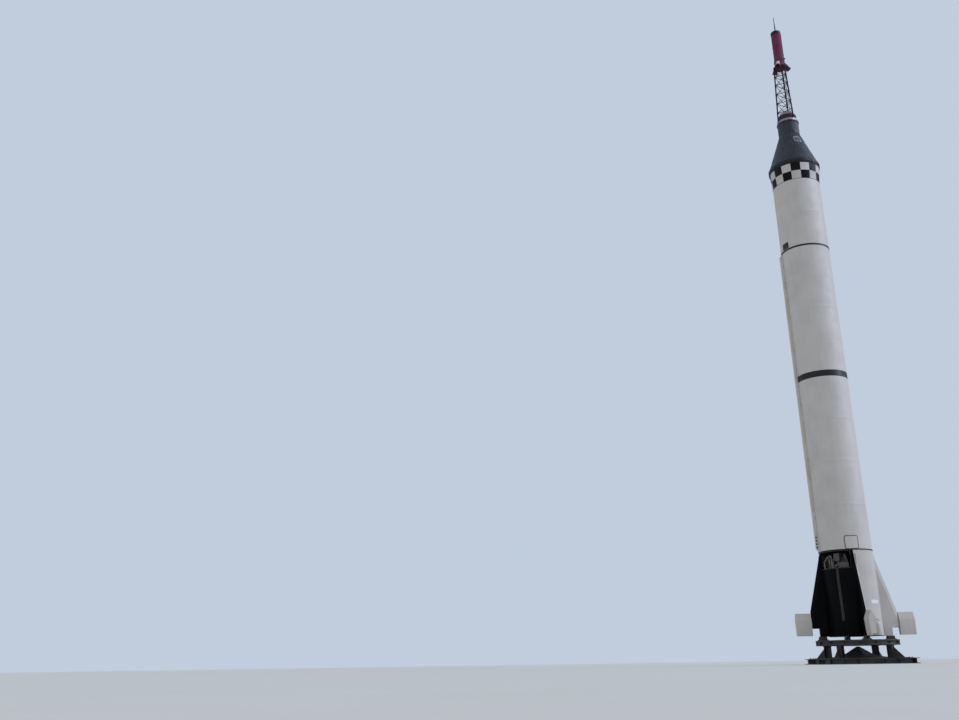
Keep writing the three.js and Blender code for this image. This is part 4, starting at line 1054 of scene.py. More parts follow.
def strut(start, end, radius, sides=10):
    """Straight tube between two points."""
    return tube(np.linspace(start, end, 2), radius, sides, UPRIGHT_REF)


def collar(start, end, where, radius):
    """Welded sleeve round a strut, a short tube that swells in its middle."""
    start, end = np.asarray(start), np.asarray(end)
    way = (end - start) / np.linalg.norm(end - start)
    centre = start + (end - start) * where
    path = centre + way * np.array([-0.022, -0.018, 0.018, 0.022])[:, None]
    return tube(path, radius * np.array([0.97, 1.22, 1.22, 0.97]), 12, UPRIGHT_REF)


# %% Lattice and its feet
# Each leg stands on a block with two crossed webs, and ends in a cap
block = cuboid((-0.042, -LEG_FOOT_R - 0.042, TOWER_LOW), (0.042, -LEG_FOOT_R + 0.042, TOWER_LOW + 0.02))
cap = cuboid((-0.036, -LEG_HEAD_R - 0.034, TOWER_HIGH - 0.024),
             (0.036, -LEG_HEAD_R + 0.034, TOWER_HIGH - 0.001))
webs = [cuboid((-x, -LEG_FOOT_R - y, TOWER_LOW + 0.018), (x, -LEG_FOOT_R + y, TOWER_LOW + 0.075))
        for x, y in ((0.004, 0.038), (0.038, 0.004))]
shapes = []
for side, azimuth in enumerate(LEG_AZIMUTHS):
    foot = around(azimuth, LEG_FOOT_R, TOWER_LOW + 0.012)
    head = around(azimuth, LEG_HEAD_R, TOWER_HIGH - 0.014)
    shapes.append(strut(foot, head, LEG_TUBE, 16))
    after = LEG_AZIMUTHS[(side + 1) % len(LEG_AZIMUTHS)]
    near, far = around(azimuth, leg_r(LEVELS), LEVELS), around(after, leg_r(LEVELS), LEVELS)
    shapes += [strut(a, b, RUNG_TUBE) for a, b in zip(near, far)]
    crossed = list(zip(near[:-1], far[1:])) + list(zip(far[:-1], near[1:]))
    shapes += [strut(a, b, BRACE_TUBE, 8) for a, b in crossed]
    shapes += [collar(foot, head, (z - TOWER_LOW) / (TOWER_HIGH - TOWER_LOW), LEG_TUBE) for z in LEVELS]
    shapes += [collar(a, b, 0.5, BRACE_TUBE * 1.2) for a, b in crossed[: len(LEVELS) - 1]]
    shapes += at_each(azimuth, block, cap, *webs)
hoop_r = leg_r(HOOP_HIGH)
hoop_in, hoop_out, hoop_web = hoop_r - 0.02, hoop_r + 0.006, hoop_r - 0.002
profile = above(HOOP_LOW, (hoop_in, 0), (hoop_out, 0), (hoop_out, 0.015), (hoop_web, 0.02))
profile += above(HOOP_HIGH, (hoop_web, -0.02), (hoop_out, -0.015), (hoop_out, 0), (hoop_in, 0))
shapes.append(turned(profile, 72, closed=True))
piece("tower_lattice", shapes, SHADED_LATTICE_RED, nodes=("escape_tower",))
foot_bolts = [standing(hexagon_head(0.018, 0.01), x, y - LEG_FOOT_R, TOWER_LOW + 0.02)
              for x in (-0.03, 0.03) for y in (-0.03, 0.03)]
piece("tower_foot_bolts", at_each(LEG_AZIMUTHS, *foot_bolts), ALLOY)

# %% [markdown]
# ## Escape motor
# Three nozzles lean out of the housing under the motor. A nozzle is a bell turned
# about its own slanted axis, so it is made upright and then aimed: a matrix turns Z onto
# the axis. Each is open, with a thin wall, a rolled lip and a red lining inside. The motor
# is a plain case with three raised bands, a dark strap at its top and a lead up one side.

# %% Housing of the motor
def aimed(shape, start, end):
    """Shape drawn along +Z from the origin, turned and moved to run from start towards end."""
    start, end = np.asarray(start), np.asarray(end)
    way = (end - start) / np.linalg.norm(end - start)
    side = np.cross([0.31, 0.93, 0.17], way)
    side /= np.linalg.norm(side)
    corners, faces = shape
    return corners @ np.array([side, np.cross(way, side), way]) + start, faces


(MOTOR_LOW, MOTOR_HIGH), MOTOR_R = span("escape_motor"), reach("nose_spike")
HOUSING_LOW, HOUSING_HIGH = span("motor_housing")
profile = above(HOUSING_LOW, (0, 0), (0.265, 0), (0.268, 0.003), (0.268, 0.027), (0.262, 0.034),
                (0.226, 0.068), (0.208, 0.088), (0.203, 0.11))
profile += above(HOUSING_HIGH, (0.2, -0.05), (0.212, -0.04), (0.214, -0.036), (0.214, -0.004), (0.21, 0),
                 (0, 0))
bolts = [ring_of(hexagon_head(0.02, 0.008), 0.267, HOUSING_LOW + 0.015, 24),
         ring_of(hexagon_head(0.016, 0.007), 0.213, HOUSING_HIGH - 0.02, 24)]
piece("motor_housing_cone", [turned(profile, 96), *bolts], RED, nodes=("motor_housing",))

# %% Nozzles
NOZZLE_AZIMUTHS = (90, -30, -150)
# Radius and height of the two ends of a bell's axis
BELL_TOP, BELL_EXIT = (0.16, BASE + 23.08), (0.34, BASE + 22.75)
THROAT_R, MOUTH_R, BELL_WALL = 0.062, 0.108, 0.012
length = float(np.hypot(*np.subtract(BELL_EXIT, BELL_TOP)))


def bell_axis(azimuth):
    """Both ends of a bell's axis at an azimuth."""
    return around(azimuth, *BELL_TOP), around(azimuth, *BELL_EXIT)


def bell_r(t):
    """Outer radius along the bell: from throat to mouth by the share of its length to the power 0.85."""
    return THROAT_R + (MOUTH_R - THROAT_R) * t**0.85


t = np.linspace(0, 1, 12)
outer = bell_r(t)
profile = [(0, 0)] + list(zip(outer, t * length))
profile[-2:] = [(MOUTH_R - 0.006, length - 0.022), (MOUTH_R, length - 0.016), (MOUTH_R, length - 0.002),
                (MOUTH_R - 0.003, length), (MOUTH_R - BELL_WALL, length - 0.002)]
profile += [(r - BELL_WALL, s) for r, s in zip(outer[9:3:-1], t[9:3:-1] * length)]
profile += [(outer[3] - BELL_WALL, 0.25 * length), (0, 0.25 * length)]
bell = turned(profile, 40)
inner = [(r - BELL_WALL - 0.0015, s * length) for r, s in zip(outer[3:11], t[3:11] + 0.012)]
liner = turned([(0, 0.262 * length), *inner], 40)
for number, azimuth in enumerate(NOZZLE_AZIMUTHS, 1):
    axis = bell_axis(azimuth)
    node = f"escape_nozzle_{number}"
    piece(f"escape_bell_{number}", aimed(bell, *axis), SCORCHED, nodes=(node,))
    piece(f"bell_lining_{number}", aimed(liner, *axis), RED, wall=0.001)

# %% Pale saddles on the upper side of the bells: a painted highlight
highlight_saddles = []
for azimuth in NOZZLE_AZIMUTHS:
    start, end = bell_axis(azimuth)
    way = (end - start) / length
    crest = UPRIGHT - way[2] * way
    crest /= np.linalg.norm(crest)
    s = np.linspace(0.1, 0.82, 8)
    wrap = np.radians(np.linspace(-62, 62, 15))
    lie = bell_r(s) + 0.004
    around_bell = np.cos(wrap)[:, None] * crest + np.sin(wrap)[:, None] * np.cross(way, crest)
    highlight_saddles.append(grid(start + (s * length)[:, None, None] * way + lie[:, None, None] * around_bell[None]))
# Pale pink paint over the upper side of each bell: painted highlight
piece("bell_highlight_saddles", highlight_saddles, PINK_PAINTED_HIGHLIGHT, wall=0.003)

# %% Motor
CASE_R = MOTOR_R - 0.006
profile = above(MOTOR_LOW, (0, 0), (CASE_R - 0.004, 0), (CASE_R, 0.004))
for z in (MOTOR_LOW + 0.06, MOTOR_LOW + 0.72, MOTOR_HIGH - 0.06):
    profile += above(z, (CASE_R, -0.022), (MOTOR_R, -0.019), (MOTOR_R, 0.019), (CASE_R, 0.022))
profile += above(MOTOR_HIGH, (CASE_R, -0.006), (CASE_R - 0.006, 0), (0, 0))
LEAD_AZIMUTH = 70
lead_z = np.linspace(MOTOR_LOW + 0.1, MOTOR_HIGH - 0.03, 5)
lead = tube(smooth([around(LEAD_AZIMUTH, MOTOR_R - 0.002, z) for z in lead_z], 6), 0.0105, 8)
clips = [cuboid((-0.022, -MOTOR_R - 0.012, z - 0.012), (0.022, -CASE_R + 0.004, z + 0.012))
         for z in np.linspace(MOTOR_LOW + 0.26, MOTOR_HIGH - 0.16, 3)]
lug = cuboid((-0.028, -MOTOR_R - 0.044, MOTOR_LOW + 0.077), (0.028, -CASE_R + 0.004, MOTOR_LOW + 0.123))
lug_bolt = moved(hexagon_head(0.026, 0.008), (0, -MOTOR_R - 0.0435, MOTOR_LOW + 0.1))
fittings = at_each(LEAD_AZIMUTH, *clips, lug, lug_bolt)
bolts = ring_of(hexagon_head(0.018, 0.007), MOTOR_R - 0.001, MOTOR_LOW + 0.06, 20)
piece("motor_case", [turned(profile, 96), lead, bolts, *fittings], RED, nodes=("escape_motor",))
strap = hoop(CASE_R - 0.004, MOTOR_R, MOTOR_HIGH - 0.11, MOTOR_HIGH - 0.003, 96)
piece("motor_top_band", strap, BLACK)

# %% Cap and spike
CAP_LOW, SPIKE_TOP = span("nose_spike")
CAP_TOP = BASE + 24.73
profile = above(CAP_LOW, (0, 0), (MOTOR_R - 0.004, 0), (MOTOR_R, 0.006), (MOTOR_R, 0.034),
                (MOTOR_R - 0.006, 0.044))
profile += above(CAP_TOP, (0.07, -0.028), (0.036, -0.008), (0.034, 0), (0.024, 0.01), (0.021, 0.2),
                 (0.025, 0.205), (0.025, 0.225), (0.018, 0.232))
profile += above(SPIKE_TOP, (0.012, -0.12), (0.008, -0.01), (0.003, 0), (0, 0))
piece("ballast_cap", [turned(profile, 64), ring_of(SCREW, MOTOR_R, CAP_LOW + 0.02, 24)], BLACK,
      nodes=("nose_spike",))

# %% [markdown]
# ## Tail skin
# The tail is a short tube, open below. One quarter of it, the black one towards the
# camera's left, has lost the cover of its service bay. The skin is a grid whose lines run
# along the edges of that opening, whose cells there are left out, and a Solidify modifier
# makes it 25 mm thick. A doubler strip with screws frames the opening.

# %% Tail tube with its service bay
SKIN = 0.025
BAY_FROM, BAY_TO = -85, -8
BAY_LOW = span("bay_floor")[HIGH]
BAY_HIGH = BASE + 2.8
turn = np.unique(np.concatenate([np.arange(-180, 180, 2.25), [BAY_FROM, BAY_TO]]))
z = np.concatenate([[BASE, BASE + 0.02, BASE + 0.03], np.arange(BASE + 0.13, BAY_LOW - 0.05, 0.12),
                    [BAY_LOW, (BAY_LOW + BAY_HIGH) / 2, BAY_HIGH, TAIL_TOP]])
free = (z > BASE + 0.1) & (z < BAY_LOW - 0.05)
r = BODY_R + 0 * z[:, None] + buckle(turn[None, :], z[:, None]) * free[:, None]
mid = (turn + np.roll(turn, -1)) / 2
in_width = (mid > BAY_FROM) & (mid < BAY_TO)
in_height = (z[:-1] >= BAY_LOW - 1e-6) & (z[:-1] < BAY_HIGH - 1e-6)
closed = ~(in_width[None, :] & in_height[:, None])
tail = grid(around(turn[None, :], r, z[:, None]), close_columns=True, keep=closed)
piece("tail_skin", tail, QUARTERED, nodes=("tail_shell",), wall=SKIN)

bay_middle, bay_half = (BAY_FROM + BAY_TO) / 2, (BAY_TO - BAY_FROM) / 2
strip = frame_strip(bay_middle, bay_half, BAY_LOW, BAY_HIGH, BODY_R + 0.005, 0.034)
piece("bay_frame", strip, QUARTERED, wall=0.007, bevel=0.0015)
edge_a = np.linspace(BAY_FROM - 1.1, BAY_TO + 1.1, 38)
edge_z = np.linspace(BAY_LOW - 0.017, BAY_HIGH + 0.017, 17)
screws = [repeated(SCREW, facing(edge_a, BODY_R + 0.005, z)) for z in (BAY_LOW - 0.017, BAY_HIGH + 0.017)]
screws += [repeated(SCREW, facing(a, BODY_R + 0.005, edge_z[1:-1])) for a in (BAY_FROM - 1.1, BAY_TO + 1.1)]
piece("bay_screws", screws, ALLOY)

# %% Foot rim, rivet rows and shaft bosses
rim_in = BODY_R - SKIN - 0.012
profile = above(BASE, (rim_in, 0.002), (BODY_R + 0.008, 0.002), (BODY_R + 0.008, 0.012),
                (BODY_R + 0.001, 0.02), (BODY_R - SKIN + 0.001, 0.02), (rim_in, 0.012))
piece("tail_rim", turned(profile, 160, closed=True), QUARTERED)
rows = [ring_of(RIVET, BODY_R + 0.0008, z, 84, 2.1)
        for z in (BASE + 0.06, BASE + 0.74, BASE + 1.5, BASE + 2.2)]
for azimuth in np.arange(45, 360, 90):
    rows.append(column_of(RIVET, azimuth, BODY_R + 0.0008, BASE + 0.12, BASE + 2.14, 34))
piece("tail_rivets", rows, QUARTERED)
# A square boss inside the skin under each fin carries a vane's shaft, and its nuts face the axis
VANE_Z, BOSS_R, BOSS_HALF = sum(span("jet_vane_1")) / 2, 0.8, 0.065
boss = cuboid((-BOSS_HALF, -(BODY_R - SKIN) - 0.006, VANE_Z - BOSS_HALF),
              (BOSS_HALF, -BOSS_R - 0.0005, VANE_Z + BOSS_HALF))
nuts = [moved(hexagon_head(0.02, 0.012), (x, 0, z)) for x in (-0.048, 0.048) for z in (-0.048, 0.048)]
nuts = [(corners * (1, -1, 1) + (0, -BOSS_R, VANE_Z), faces) for corners, faces in nuts]
piece("shaft_bosses", at_each(FIN_AZIMUTHS, boss, *nuts), PRIMER, bevel=0.004)

# %% [markdown]
# ## Fins and rudders
# A fin is a swept plate with a bevelled leading edge. Its section at a height is a flat
# hexagon: the root, the line where the bevel starts, and the edge. Rows of that section up
# the fin make a grid, and a step in the edge makes the notch under the tip. The rudder
# outside it is a wedge, thick in the middle and sharp above, and turns about a radial axis.

# %% Fin with its bevel and notch
FIN_ROOT, FIN_TIP = BODY_R - 0.006, -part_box("fin_1")[LOW][Y]
FIN_HALF, FIN_EDGE_HALF = 0.06, 0.008
TIP_TOP = BASE + 0.83
NOTCH_R, NOTCH_TOP = FIN_TIP - 0.24, BASE + 0.27
SWEEP = (FIN_TIP - BODY_R) / (TAIL_TOP - TIP_TOP)
BEVEL = 0.11 * np.sqrt(1 + SWEEP**2)


def fin_edge(z):
    """Distance of the fin's outer edge from the axis: upright at the tip, then swept to the skin."""
    return np.minimum(FIN_TIP, BODY_R + (TAIL_TOP - z) * SWEEP)


def fin_half(r, z):
    """Half thickness: full inside, thinning over the bevel's width towards the swept line."""
    swept = BODY_R + (TAIL_TOP - z) * SWEEP
    return np.clip(FIN_EDGE_HALF + (swept - r) * (FIN_HALF - FIN_EDGE_HALF) / BEVEL, FIN_EDGE_HALF, FIN_HALF)


z = np.concatenate([[BASE + 0.001, NOTCH_TOP - 0.0005, NOTCH_TOP + 0.0005],
                    np.linspace(BASE + 0.42, TIP_TOP, 5),
                    np.linspace(TIP_TOP + 0.02, TAIL_TOP - 0.002, 22)])
edge = np.where(z < NOTCH_TOP, NOTCH_R, fin_edge(z))
shoulder = np.clip(BODY_R + (TAIL_TOP - z) * SWEEP - BEVEL, FIN_ROOT + 0.001, edge - 0.004)
outline_r = np.stack([FIN_ROOT + 0 * z, shoulder, edge - 0.002, edge - 0.002, shoulder, FIN_ROOT + 0 * z], 1)
half = np.stack([fin_half(FIN_ROOT, z), fin_half(shoulder, z), fin_half(edge, z)], 1)
outline_x = np.concatenate([-half, half[:, ::-1]], 1)
points = np.stack([outline_x, -outline_r, np.broadcast_to(z[:, None], outline_x.shape)], -1)
fin_plate = capped(points)

# %% Root angles and rivets of a fin
strip_z = np.linspace(BASE + 0.04, TAIL_TOP - 0.12, 2)
root_z = np.linspace(BASE + 0.1, TAIL_TOP - 0.2, 46)
up_z = np.linspace(BASE + 0.12, TAIL_TOP - 0.5, 30)
angles, rivets = [], []
for side in (-1, 1):
    foot_turn = side * np.degrees(np.array([0.061, 0.105]) / BODY_R)
    flat = grid(around(foot_turn[None, :], BODY_R + 0.004, strip_z[:, None]))
    flange_r = np.array([BODY_R - 0.002, BODY_R + 0.045])
    upright = np.stack(np.broadcast_arrays(side * 0.0635, -flange_r[None, :], strip_z[:, None]), -1)
    angles += [flat, grid(upright)]
    mid_turn = side * np.degrees(0.085 / BODY_R)
    rivets.append(repeated(RIVET, facing(mid_turn, BODY_R + 0.004, root_z)))
    line_r = BODY_R + (TAIL_TOP - up_z) * SWEEP - BEVEL - 0.02
    places = facing(90 * side, FIN_HALF, up_z)
    places[:, 1, 3] = -np.minimum(line_r, np.where(up_z < NOTCH_TOP + 0.02, NOTCH_R - 0.03, FIN_TIP - 0.1))
    rivets.append(repeated(RIVET, places))
for number, azimuth in enumerate(FIN_AZIMUTHS, 1):
    piece(f"fin_plate_{number}", turned_to(fin_plate, azimuth), QUARTERED, nodes=(f"fin_{number}",),
          bevel=0.0015, angle=12)
    piece(f"fin_rivets_{number}", at_each(azimuth, *rivets), QUARTERED)
    strips = at_each(azimuth, *angles)
    piece(f"fin_root_angles_{number}", strips, QUARTERED, wall=0.004)

# %% Rudders
RUDDER_LOW, RUDDER_HIGH = corners_of("rudder_1")
RUDDER_IN, RUDDER_OUT, AXIS_Z = FIN_TIP + 0.015, -RUDDER_LOW[Y], BASE + 0.45
low, high, wide = RUDDER_LOW[Z], RUDDER_HIGH[Z], RUDDER_HIGH[X]
# The wedge is thickest at its shoulder, 0.25 m under its top, and three quarters as thick at its foot
outline = mirrored([(wide * 0.75 - 0.006, low), (wide * 0.755, low + 0.006), (wide - 0.001, high - 0.25),
                    (wide - 0.002, high - 0.238), (0.012, high - 0.004), (0.006, high)])
blade = moved(prism(outline, RUDDER_OUT - RUDDER_IN - 0.008), (0, -(RUDDER_OUT + RUDDER_IN) / 2, 0))
rib = np.array(outline) * (1.02, 1) * 0.985 + (0, 0.015 * (low + high) / 2)
ribs = [moved(prism(rib, 0.007), (0, -r, 0)) for r in (RUDDER_IN + 0.0035, RUDDER_OUT - 0.0035)]
stub = strut((0, -FIN_TIP - 0.0145, AXIS_Z), (0, -RUDDER_IN - 0.03, AXIS_Z), 0.037, 24)
bearing_profile = [(0, 0), (0.07, 0), (0.07, 0.008), (0.05, 0.0125), (0, 0.0125)]
bearing = aimed(turned(bearing_profile, 32), (0, -FIN_TIP + 0.002, AXIS_Z), (0, -FIN_TIP - 1, AXIS_Z))
slope = np.arctan2(wide * 0.25, high - 0.25 - low)
screws = []
rise = np.linspace(low + 0.05, high - 0.29, 11)
for r in (RUDDER_IN + 0.03, RUDDER_OUT - 0.03):
    for side in (-1, 1):
        places = facing(90 * side, wide * 0.75 + (rise - low) * np.tan(slope) - 0.001, rise)
        places[:, 1, 3] = -r
        screws.append(repeated(RIVET, places))
for number, azimuth in enumerate(FIN_AZIMUTHS, 1):
    body = f"rudder_{number}"
    shapes = at_each(azimuth, blade, *ribs, *screws)
    piece(f"rudder_blade_{number}", shapes, WHITE, body, (body,), bevel=0.0015)
    piece(f"rudder_stub_{number}", turned_to(stub, azimuth), ROD, body)
    piece(f"rudder_bearing_{number}", turned_to(bearing, azimuth), ALLOY)

# %% [markdown]
# ## Jet vanes
# Under the bell four graphite vanes sit in the exhaust. Each is a blade of lens section on
# a steel shaft, with a pinned hub where they meet, and the shaft runs out to the boss on
# the tail's skin. The blade is an outline given a depth, because its section stays the same.

# %% Vanes and shafts
vane_low, vane_high = span("jet_vane_1")
VANE_IN, VANE_OUT = 0.15, 0.4
s = np.linspace(0, 1, 15)
thick = 0.0178 * np.sin(np.pi * s**0.8) ** 0.7 + 0.004 * (1 - s)
chord = vane_low + (vane_high - vane_low) * s
outline = list(zip(thick, chord)) + list(zip(-thick[::-1], chord[::-1]))
outline = [p for i, p in enumerate(outline) if i != len(s)]
vane = moved(prism(outline, VANE_OUT - VANE_IN), (0, -(VANE_OUT + VANE_IN) / 2, 0))
shaft = strut((0, -VANE_OUT + 0.06, VANE_Z), (0, -BOSS_R + 0.0003, VANE_Z), 0.0275, 28)
hub_profile = [(0, 0), (0.046, 0), (0.052, 0.006), (0.052, 0.03), (0.036, 0.045), (0, 0.045)]
hub = aimed(turned(hub_profile, 32), (0, -VANE_OUT - 0.002, VANE_Z), (0, -1, VANE_Z))
pin = strut((0, -VANE_OUT - 0.02, VANE_Z - 0.056), (0, -VANE_OUT - 0.02, VANE_Z + 0.056), 0.006, 8)
for number, azimuth in enumerate(FIN_AZIMUTHS, 1):
    body = f"jet_vane_{number}"
    piece(f"vane_blade_{number}", turned_to(vane, azimuth), GRAPHITE, body, (body,), bevel=0.002)
    piece(f"vane_shaft_{number}", at_each(azimuth, shaft, hub, pin), ROD, body)

# %% [markdown]
# ## Engine
# The bell is a turned wall: its inner and outer profiles are one closed outline, with
# hoops standing proud outside. Round its mouth runs the fuel manifold, a ring pipe, and
# feed pipes climb from it into the collar. The base shield closes the tail round the collar.

# %% Bell, manifold and collar
# Heights of the bell's hoops over its mouth
HOOP_HEIGHTS = (0.2, 0.36, 0.52, 0.66)
BELL_LOW, BELL_HIGH = span("nozzle")
EXIT_R, THROAT, WALL = 0.385, 0.14, 0.022
THROAT_Z, SHIELD_LOW, SHIELD_HIGH = BASE + 1.25, BASE + 0.75, BASE + 0.79
t = np.linspace(0, 1, 26)
inner_r = THROAT + (EXIT_R - THROAT) * np.sin((1 - t) * np.pi / 2) ** 0.85
level = BELL_LOW + (THROAT_Z - BELL_LOW) * t
inner = list(zip(inner_r, level))
outer = []
for r, z in inner:
    proud = 0.014 if any(abs(z - BELL_LOW - h) < 0.016 for h in HOOP_HEIGHTS) else 0.0
    outer.append((r + WALL - 0.006 + proud, z))
top = [(0.25, THROAT_Z + 0.09), *above(BELL_HIGH, (0.252, -0.05), (0.238, -0.01), (0.2, 0), (0, 0))]
wall = turned([(0, THROAT_Z)] + inner[::-1] + outer + top, 96)
section_turn = np.arange(12) * np.pi / 6
MANIFOLD_R = 0.411
torus_r = MANIFOLD_R + 0.0215 * np.cos(section_turn)
manifold = turned(list(zip(torus_r, BELL_LOW + 0.04 + 0.027 * np.sin(section_turn))), 96, closed=True)
FEED_LINE = np.array([(MANIFOLD_R, BELL_LOW + 0.04), (0.418, BELL_LOW + 0.13), (0.396, SHIELD_LOW - 0.05),
                      (0.378, SHIELD_LOW + 0.02)])
feeds = [tube(smooth(around(azimuth, *FEED_LINE.T), 6), 0.0118, 8) for azimuth in np.arange(30, 360, 60)]
collar_r = 0.4
collar = turned([(0.24, SHIELD_LOW), (collar_r - 0.004, SHIELD_LOW), (collar_r - 0.001, SHIELD_LOW + 0.004),
                 (collar_r - 0.001, SHIELD_HIGH), (0.24, SHIELD_HIGH)], 120, closed=True)
piece("engine_bell", [wall, manifold, *feeds, collar], STAINED, nodes=("nozzle",))

# %% Base shield, engine block and bay floor
SHIELD_R = reach("base_heat_shield")
profile = [(collar_r + 0.001, SHIELD_LOW + 0.006), (collar_r + 0.02, SHIELD_LOW),
           (SHIELD_R - 0.02, SHIELD_LOW), (SHIELD_R, SHIELD_LOW + 0.006), (SHIELD_R, SHIELD_HIGH),
           (collar_r + 0.001, SHIELD_HIGH)]
rib = cuboid((-0.004, -SHIELD_R + 0.01, SHIELD_HIGH - 0.001), (0.004, -collar_r - 0.02, SHIELD_HIGH + 0.05))
ribs = at_each(np.arange(0, 360, 22.5), rib)
heads = []
for r, count in ((collar_r + 0.035, 32), (0.63, 40), (SHIELD_R - 0.035, 64)):
    head = standing(dome(0.011, -0.005, 6), 0, -r, SHIELD_LOW)
    heads.append(repeated(head, facing(np.arange(count) * 360 / count, 0, 0)))
piece("base_shield", [turned(profile, 160, closed=True), *ribs, *heads], PRIMER, nodes=("base_heat_shield",),
      bevel=0.001)
for node in ("engine_block", "bay_floor"):
    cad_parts[node].data.materials.clear()
    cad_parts[node].data.materials.append(PRIMER)

# %% [markdown]
# ## Service bay
# In the open bay the pipes and boxes of the engine show, tarnished and sooted: a curved
# pipe at the left, a pipe bent like an n, a box on a post, two upright bottles and a wide
# low duct, in front of a bent back wall. Pipes follow smooth curves through a few points,
# and flanges are short turned rings.

# %% Places and shapes in the bay
PLUMBING_LOW = span("bay_plumbing")[LOW]


def spot(azimuth, radius, height):
    """Point in the bay: azimuth, distance from the axis, height over the bay's base plate."""
    return around(azimuth, radius, PLUMBING_LOW + height)


def flange(centre, towards_point, radius):
    """Bolted pipe flange: a short disc with a step, square to the pipe."""
    profile = [(0, -0.012), (radius, -0.012), (radius, 0), (radius * 0.8, 0.003), (radius * 0.8, 0.012),
               (0, 0.012)]
    return aimed(turned(profile, 20), centre, towards_point)


def sector_box(r_in, r_out, low, high, start, end, steps=9):
    """Box bent round the axis, closed at all its sides."""
    turn = np.linspace(start, end, steps)
    r, z = np.array([(r_in, low), (r_out, low), (r_out, high), (r_in, high)]).T
    return capped(around(turn[:, None], r[None, :], PLUMBING_LOW + z[None, :]))


def bay_path(points, steps):
    """Smooth path through (azimuth, radius, height) points of the bay."""
    return smooth([spot(*point) for point in points], steps)


# %% Pipes of the bay
curved = bay_path([(-80, 0.79, 0.005), (-80, 0.8, 0.12), (-79, 0.8, 0.24), (-73, 0.76, 0.34),
                   (-68, 0.7, 0.42), (-66, 0.6, 0.4)], 8)
bent = bay_path([(-53, 0.78, 0.005), (-53, 0.785, 0.2), (-53, 0.785, 0.34), (-54.5, 0.785, 0.41),
                 (-56.5, 0.785, 0.434), (-58.5, 0.785, 0.41), (-60, 0.785, 0.34), (-60, 0.78, 0.005)], 6)
tubes = [tube(curved, 0.034, 14), tube(bent, 0.026, 14)]
# Thin pipes: azimuth, radius and height, then the step in azimuth and in radius of their bend
THIN_PIPES = ((-49, 0.8, 0.3, 2.5, 0.0), (-64, 0.74, 0.28, -3, 0.04), (-27, 0.72, 0.42, 4, -0.08),
              (-14, 0.78, 0.36, -3, 0.0), (-75, 0.7, 0.44, 3, -0.05))
for a, r, h, step, out in THIN_PIPES:
    path = bay_path([(a, r, 0.01), (a, r, h * 0.6), (a + step, r + out, h),
                     (a + 2 * step, r + out, h + 0.04)], 7)
    tubes.append(tube(path, 0.011, 8, UPRIGHT_REF))
# Flanges at the foot of the wide pipes: azimuth, radius and size
FEET = ((-80, 0.79, 0.055), (-53, 0.78, 0.042), (-60, 0.78, 0.042))
rings = [flange(spot(a, r, 0.02), spot(a, r, 1), size) for a, r, size in FEET]
rings.append(flange(spot(-79, 0.8, 0.24), spot(-77, 0.79, 0.3), 0.05))
piece("bay_pipes", tubes + rings, DRAWN, nodes=("bay_plumbing",))

# %% Bottles, box, low duct and back wall
def bottle(azimuth, radius, height, reach_out):
    """Pressure bottle standing on its foot: a turned profile with a domed top and a neck."""
    r = radius
    profile = [(0, 0), (r * 0.8, 0), (r, 0.03), (r, height - r * 0.9), (r * 0.92, height - r * 0.5),
               (r * 0.7, height - r * 0.2), (r * 0.25, height - 0.035), (r * 0.22, height), (0, height)]
    return moved(turned(profile, 36), spot(azimuth, reach_out, 0.012))


shapes = [bottle(-20, 0.07, 0.5, 0.52), bottle(-72, 0.11, 0.42, 0.56)]
for h in (0.07, 0.26):
    profile = above(h, (0.113, 0), (0.116, 0.002), (0.116, 0.028), (0.113, 0.03))
    shapes.append(moved(turned(profile, 36, closed=True), spot(-72, 0.56, 0.012)))
piece("bay_bottles", shapes, GREY_SOOT)
box = sector_box(0.62, 0.77, 0.24, 0.49, -47, -33)
lid = sector_box(0.6, 0.776, 0.482, 0.5, -47.6, -32.4)
post = sector_box(0.64, 0.7, 0.01, 0.245, -43, -37, 3)
base_plate = sector_box(0.43, 0.85, 0.0, 0.014, -82, -11, 25)
piece("bay_dark_box", [box, lid, post, base_plate], GREY_SOOT, bevel=0.004)
duct = sector_box(0.56, 0.8, 0.012, 0.185, -36, -12)
folds = [sector_box(0.555, 0.806, 0.012, 0.19, a - 0.35, a + 0.35, 2) for a in (-34, -28, -22, -16)]
elbow = bay_path([(-34, 0.7, 0.1), (-40, 0.71, 0.11), (-46, 0.72, 0.07), (-50, 0.72, 0.02)], 8)
piece("bay_grey_duct", [duct, *folds, tube(elbow, 0.055, 16)], GREY_SOOT, bevel=0.006)
back_turn = np.linspace(BAY_FROM + 3, BAY_TO - 3, 25)
back_z = np.array([PLUMBING_LOW + 0.014, BAY_HIGH - 0.01])
back_wall = grid(around(back_turn[None, :], 0.43, back_z[:, None]))
piece("bay_back_wall", back_wall, GREY_SOOT, wall=0.006)

# %% [markdown]
# ## Fittings on the skin
# The cable tunnel runs up the side from the tail joint to the separation line, white all
# the way, across the black band. Straps and latches hold it to the skin. Tapered arched
# covers stand at the foot of two white quarters, with a flange round them and a dark
# rubber bead outside that, a painted shadow along their edge. A conduit comes down the
# black one on a shallow channel. The access panel, the port plate and the lids are curved
# patches with round corners, blank.

# %% Cable tunnel
TUNNEL_LOW, TUNNEL_HIGH = span("cable_tunnel")
TUNNEL_AZIMUTH, HALF_WIDTH, PROUD = -90, 0.055, 0.1
top_r, base_r = BODY_R + PROUD, BODY_R - 0.004
left = [(-HALF_WIDTH, base_r), (-HALF_WIDTH, top_r - 0.022), (-HALF_WIDTH + 0.006, top_r - 0.008),
        (-HALF_WIDTH + 0.02, top_r - 0.001)]
x, r = np.array(left + [(-x, r) for x, r in left[::-1]]).T
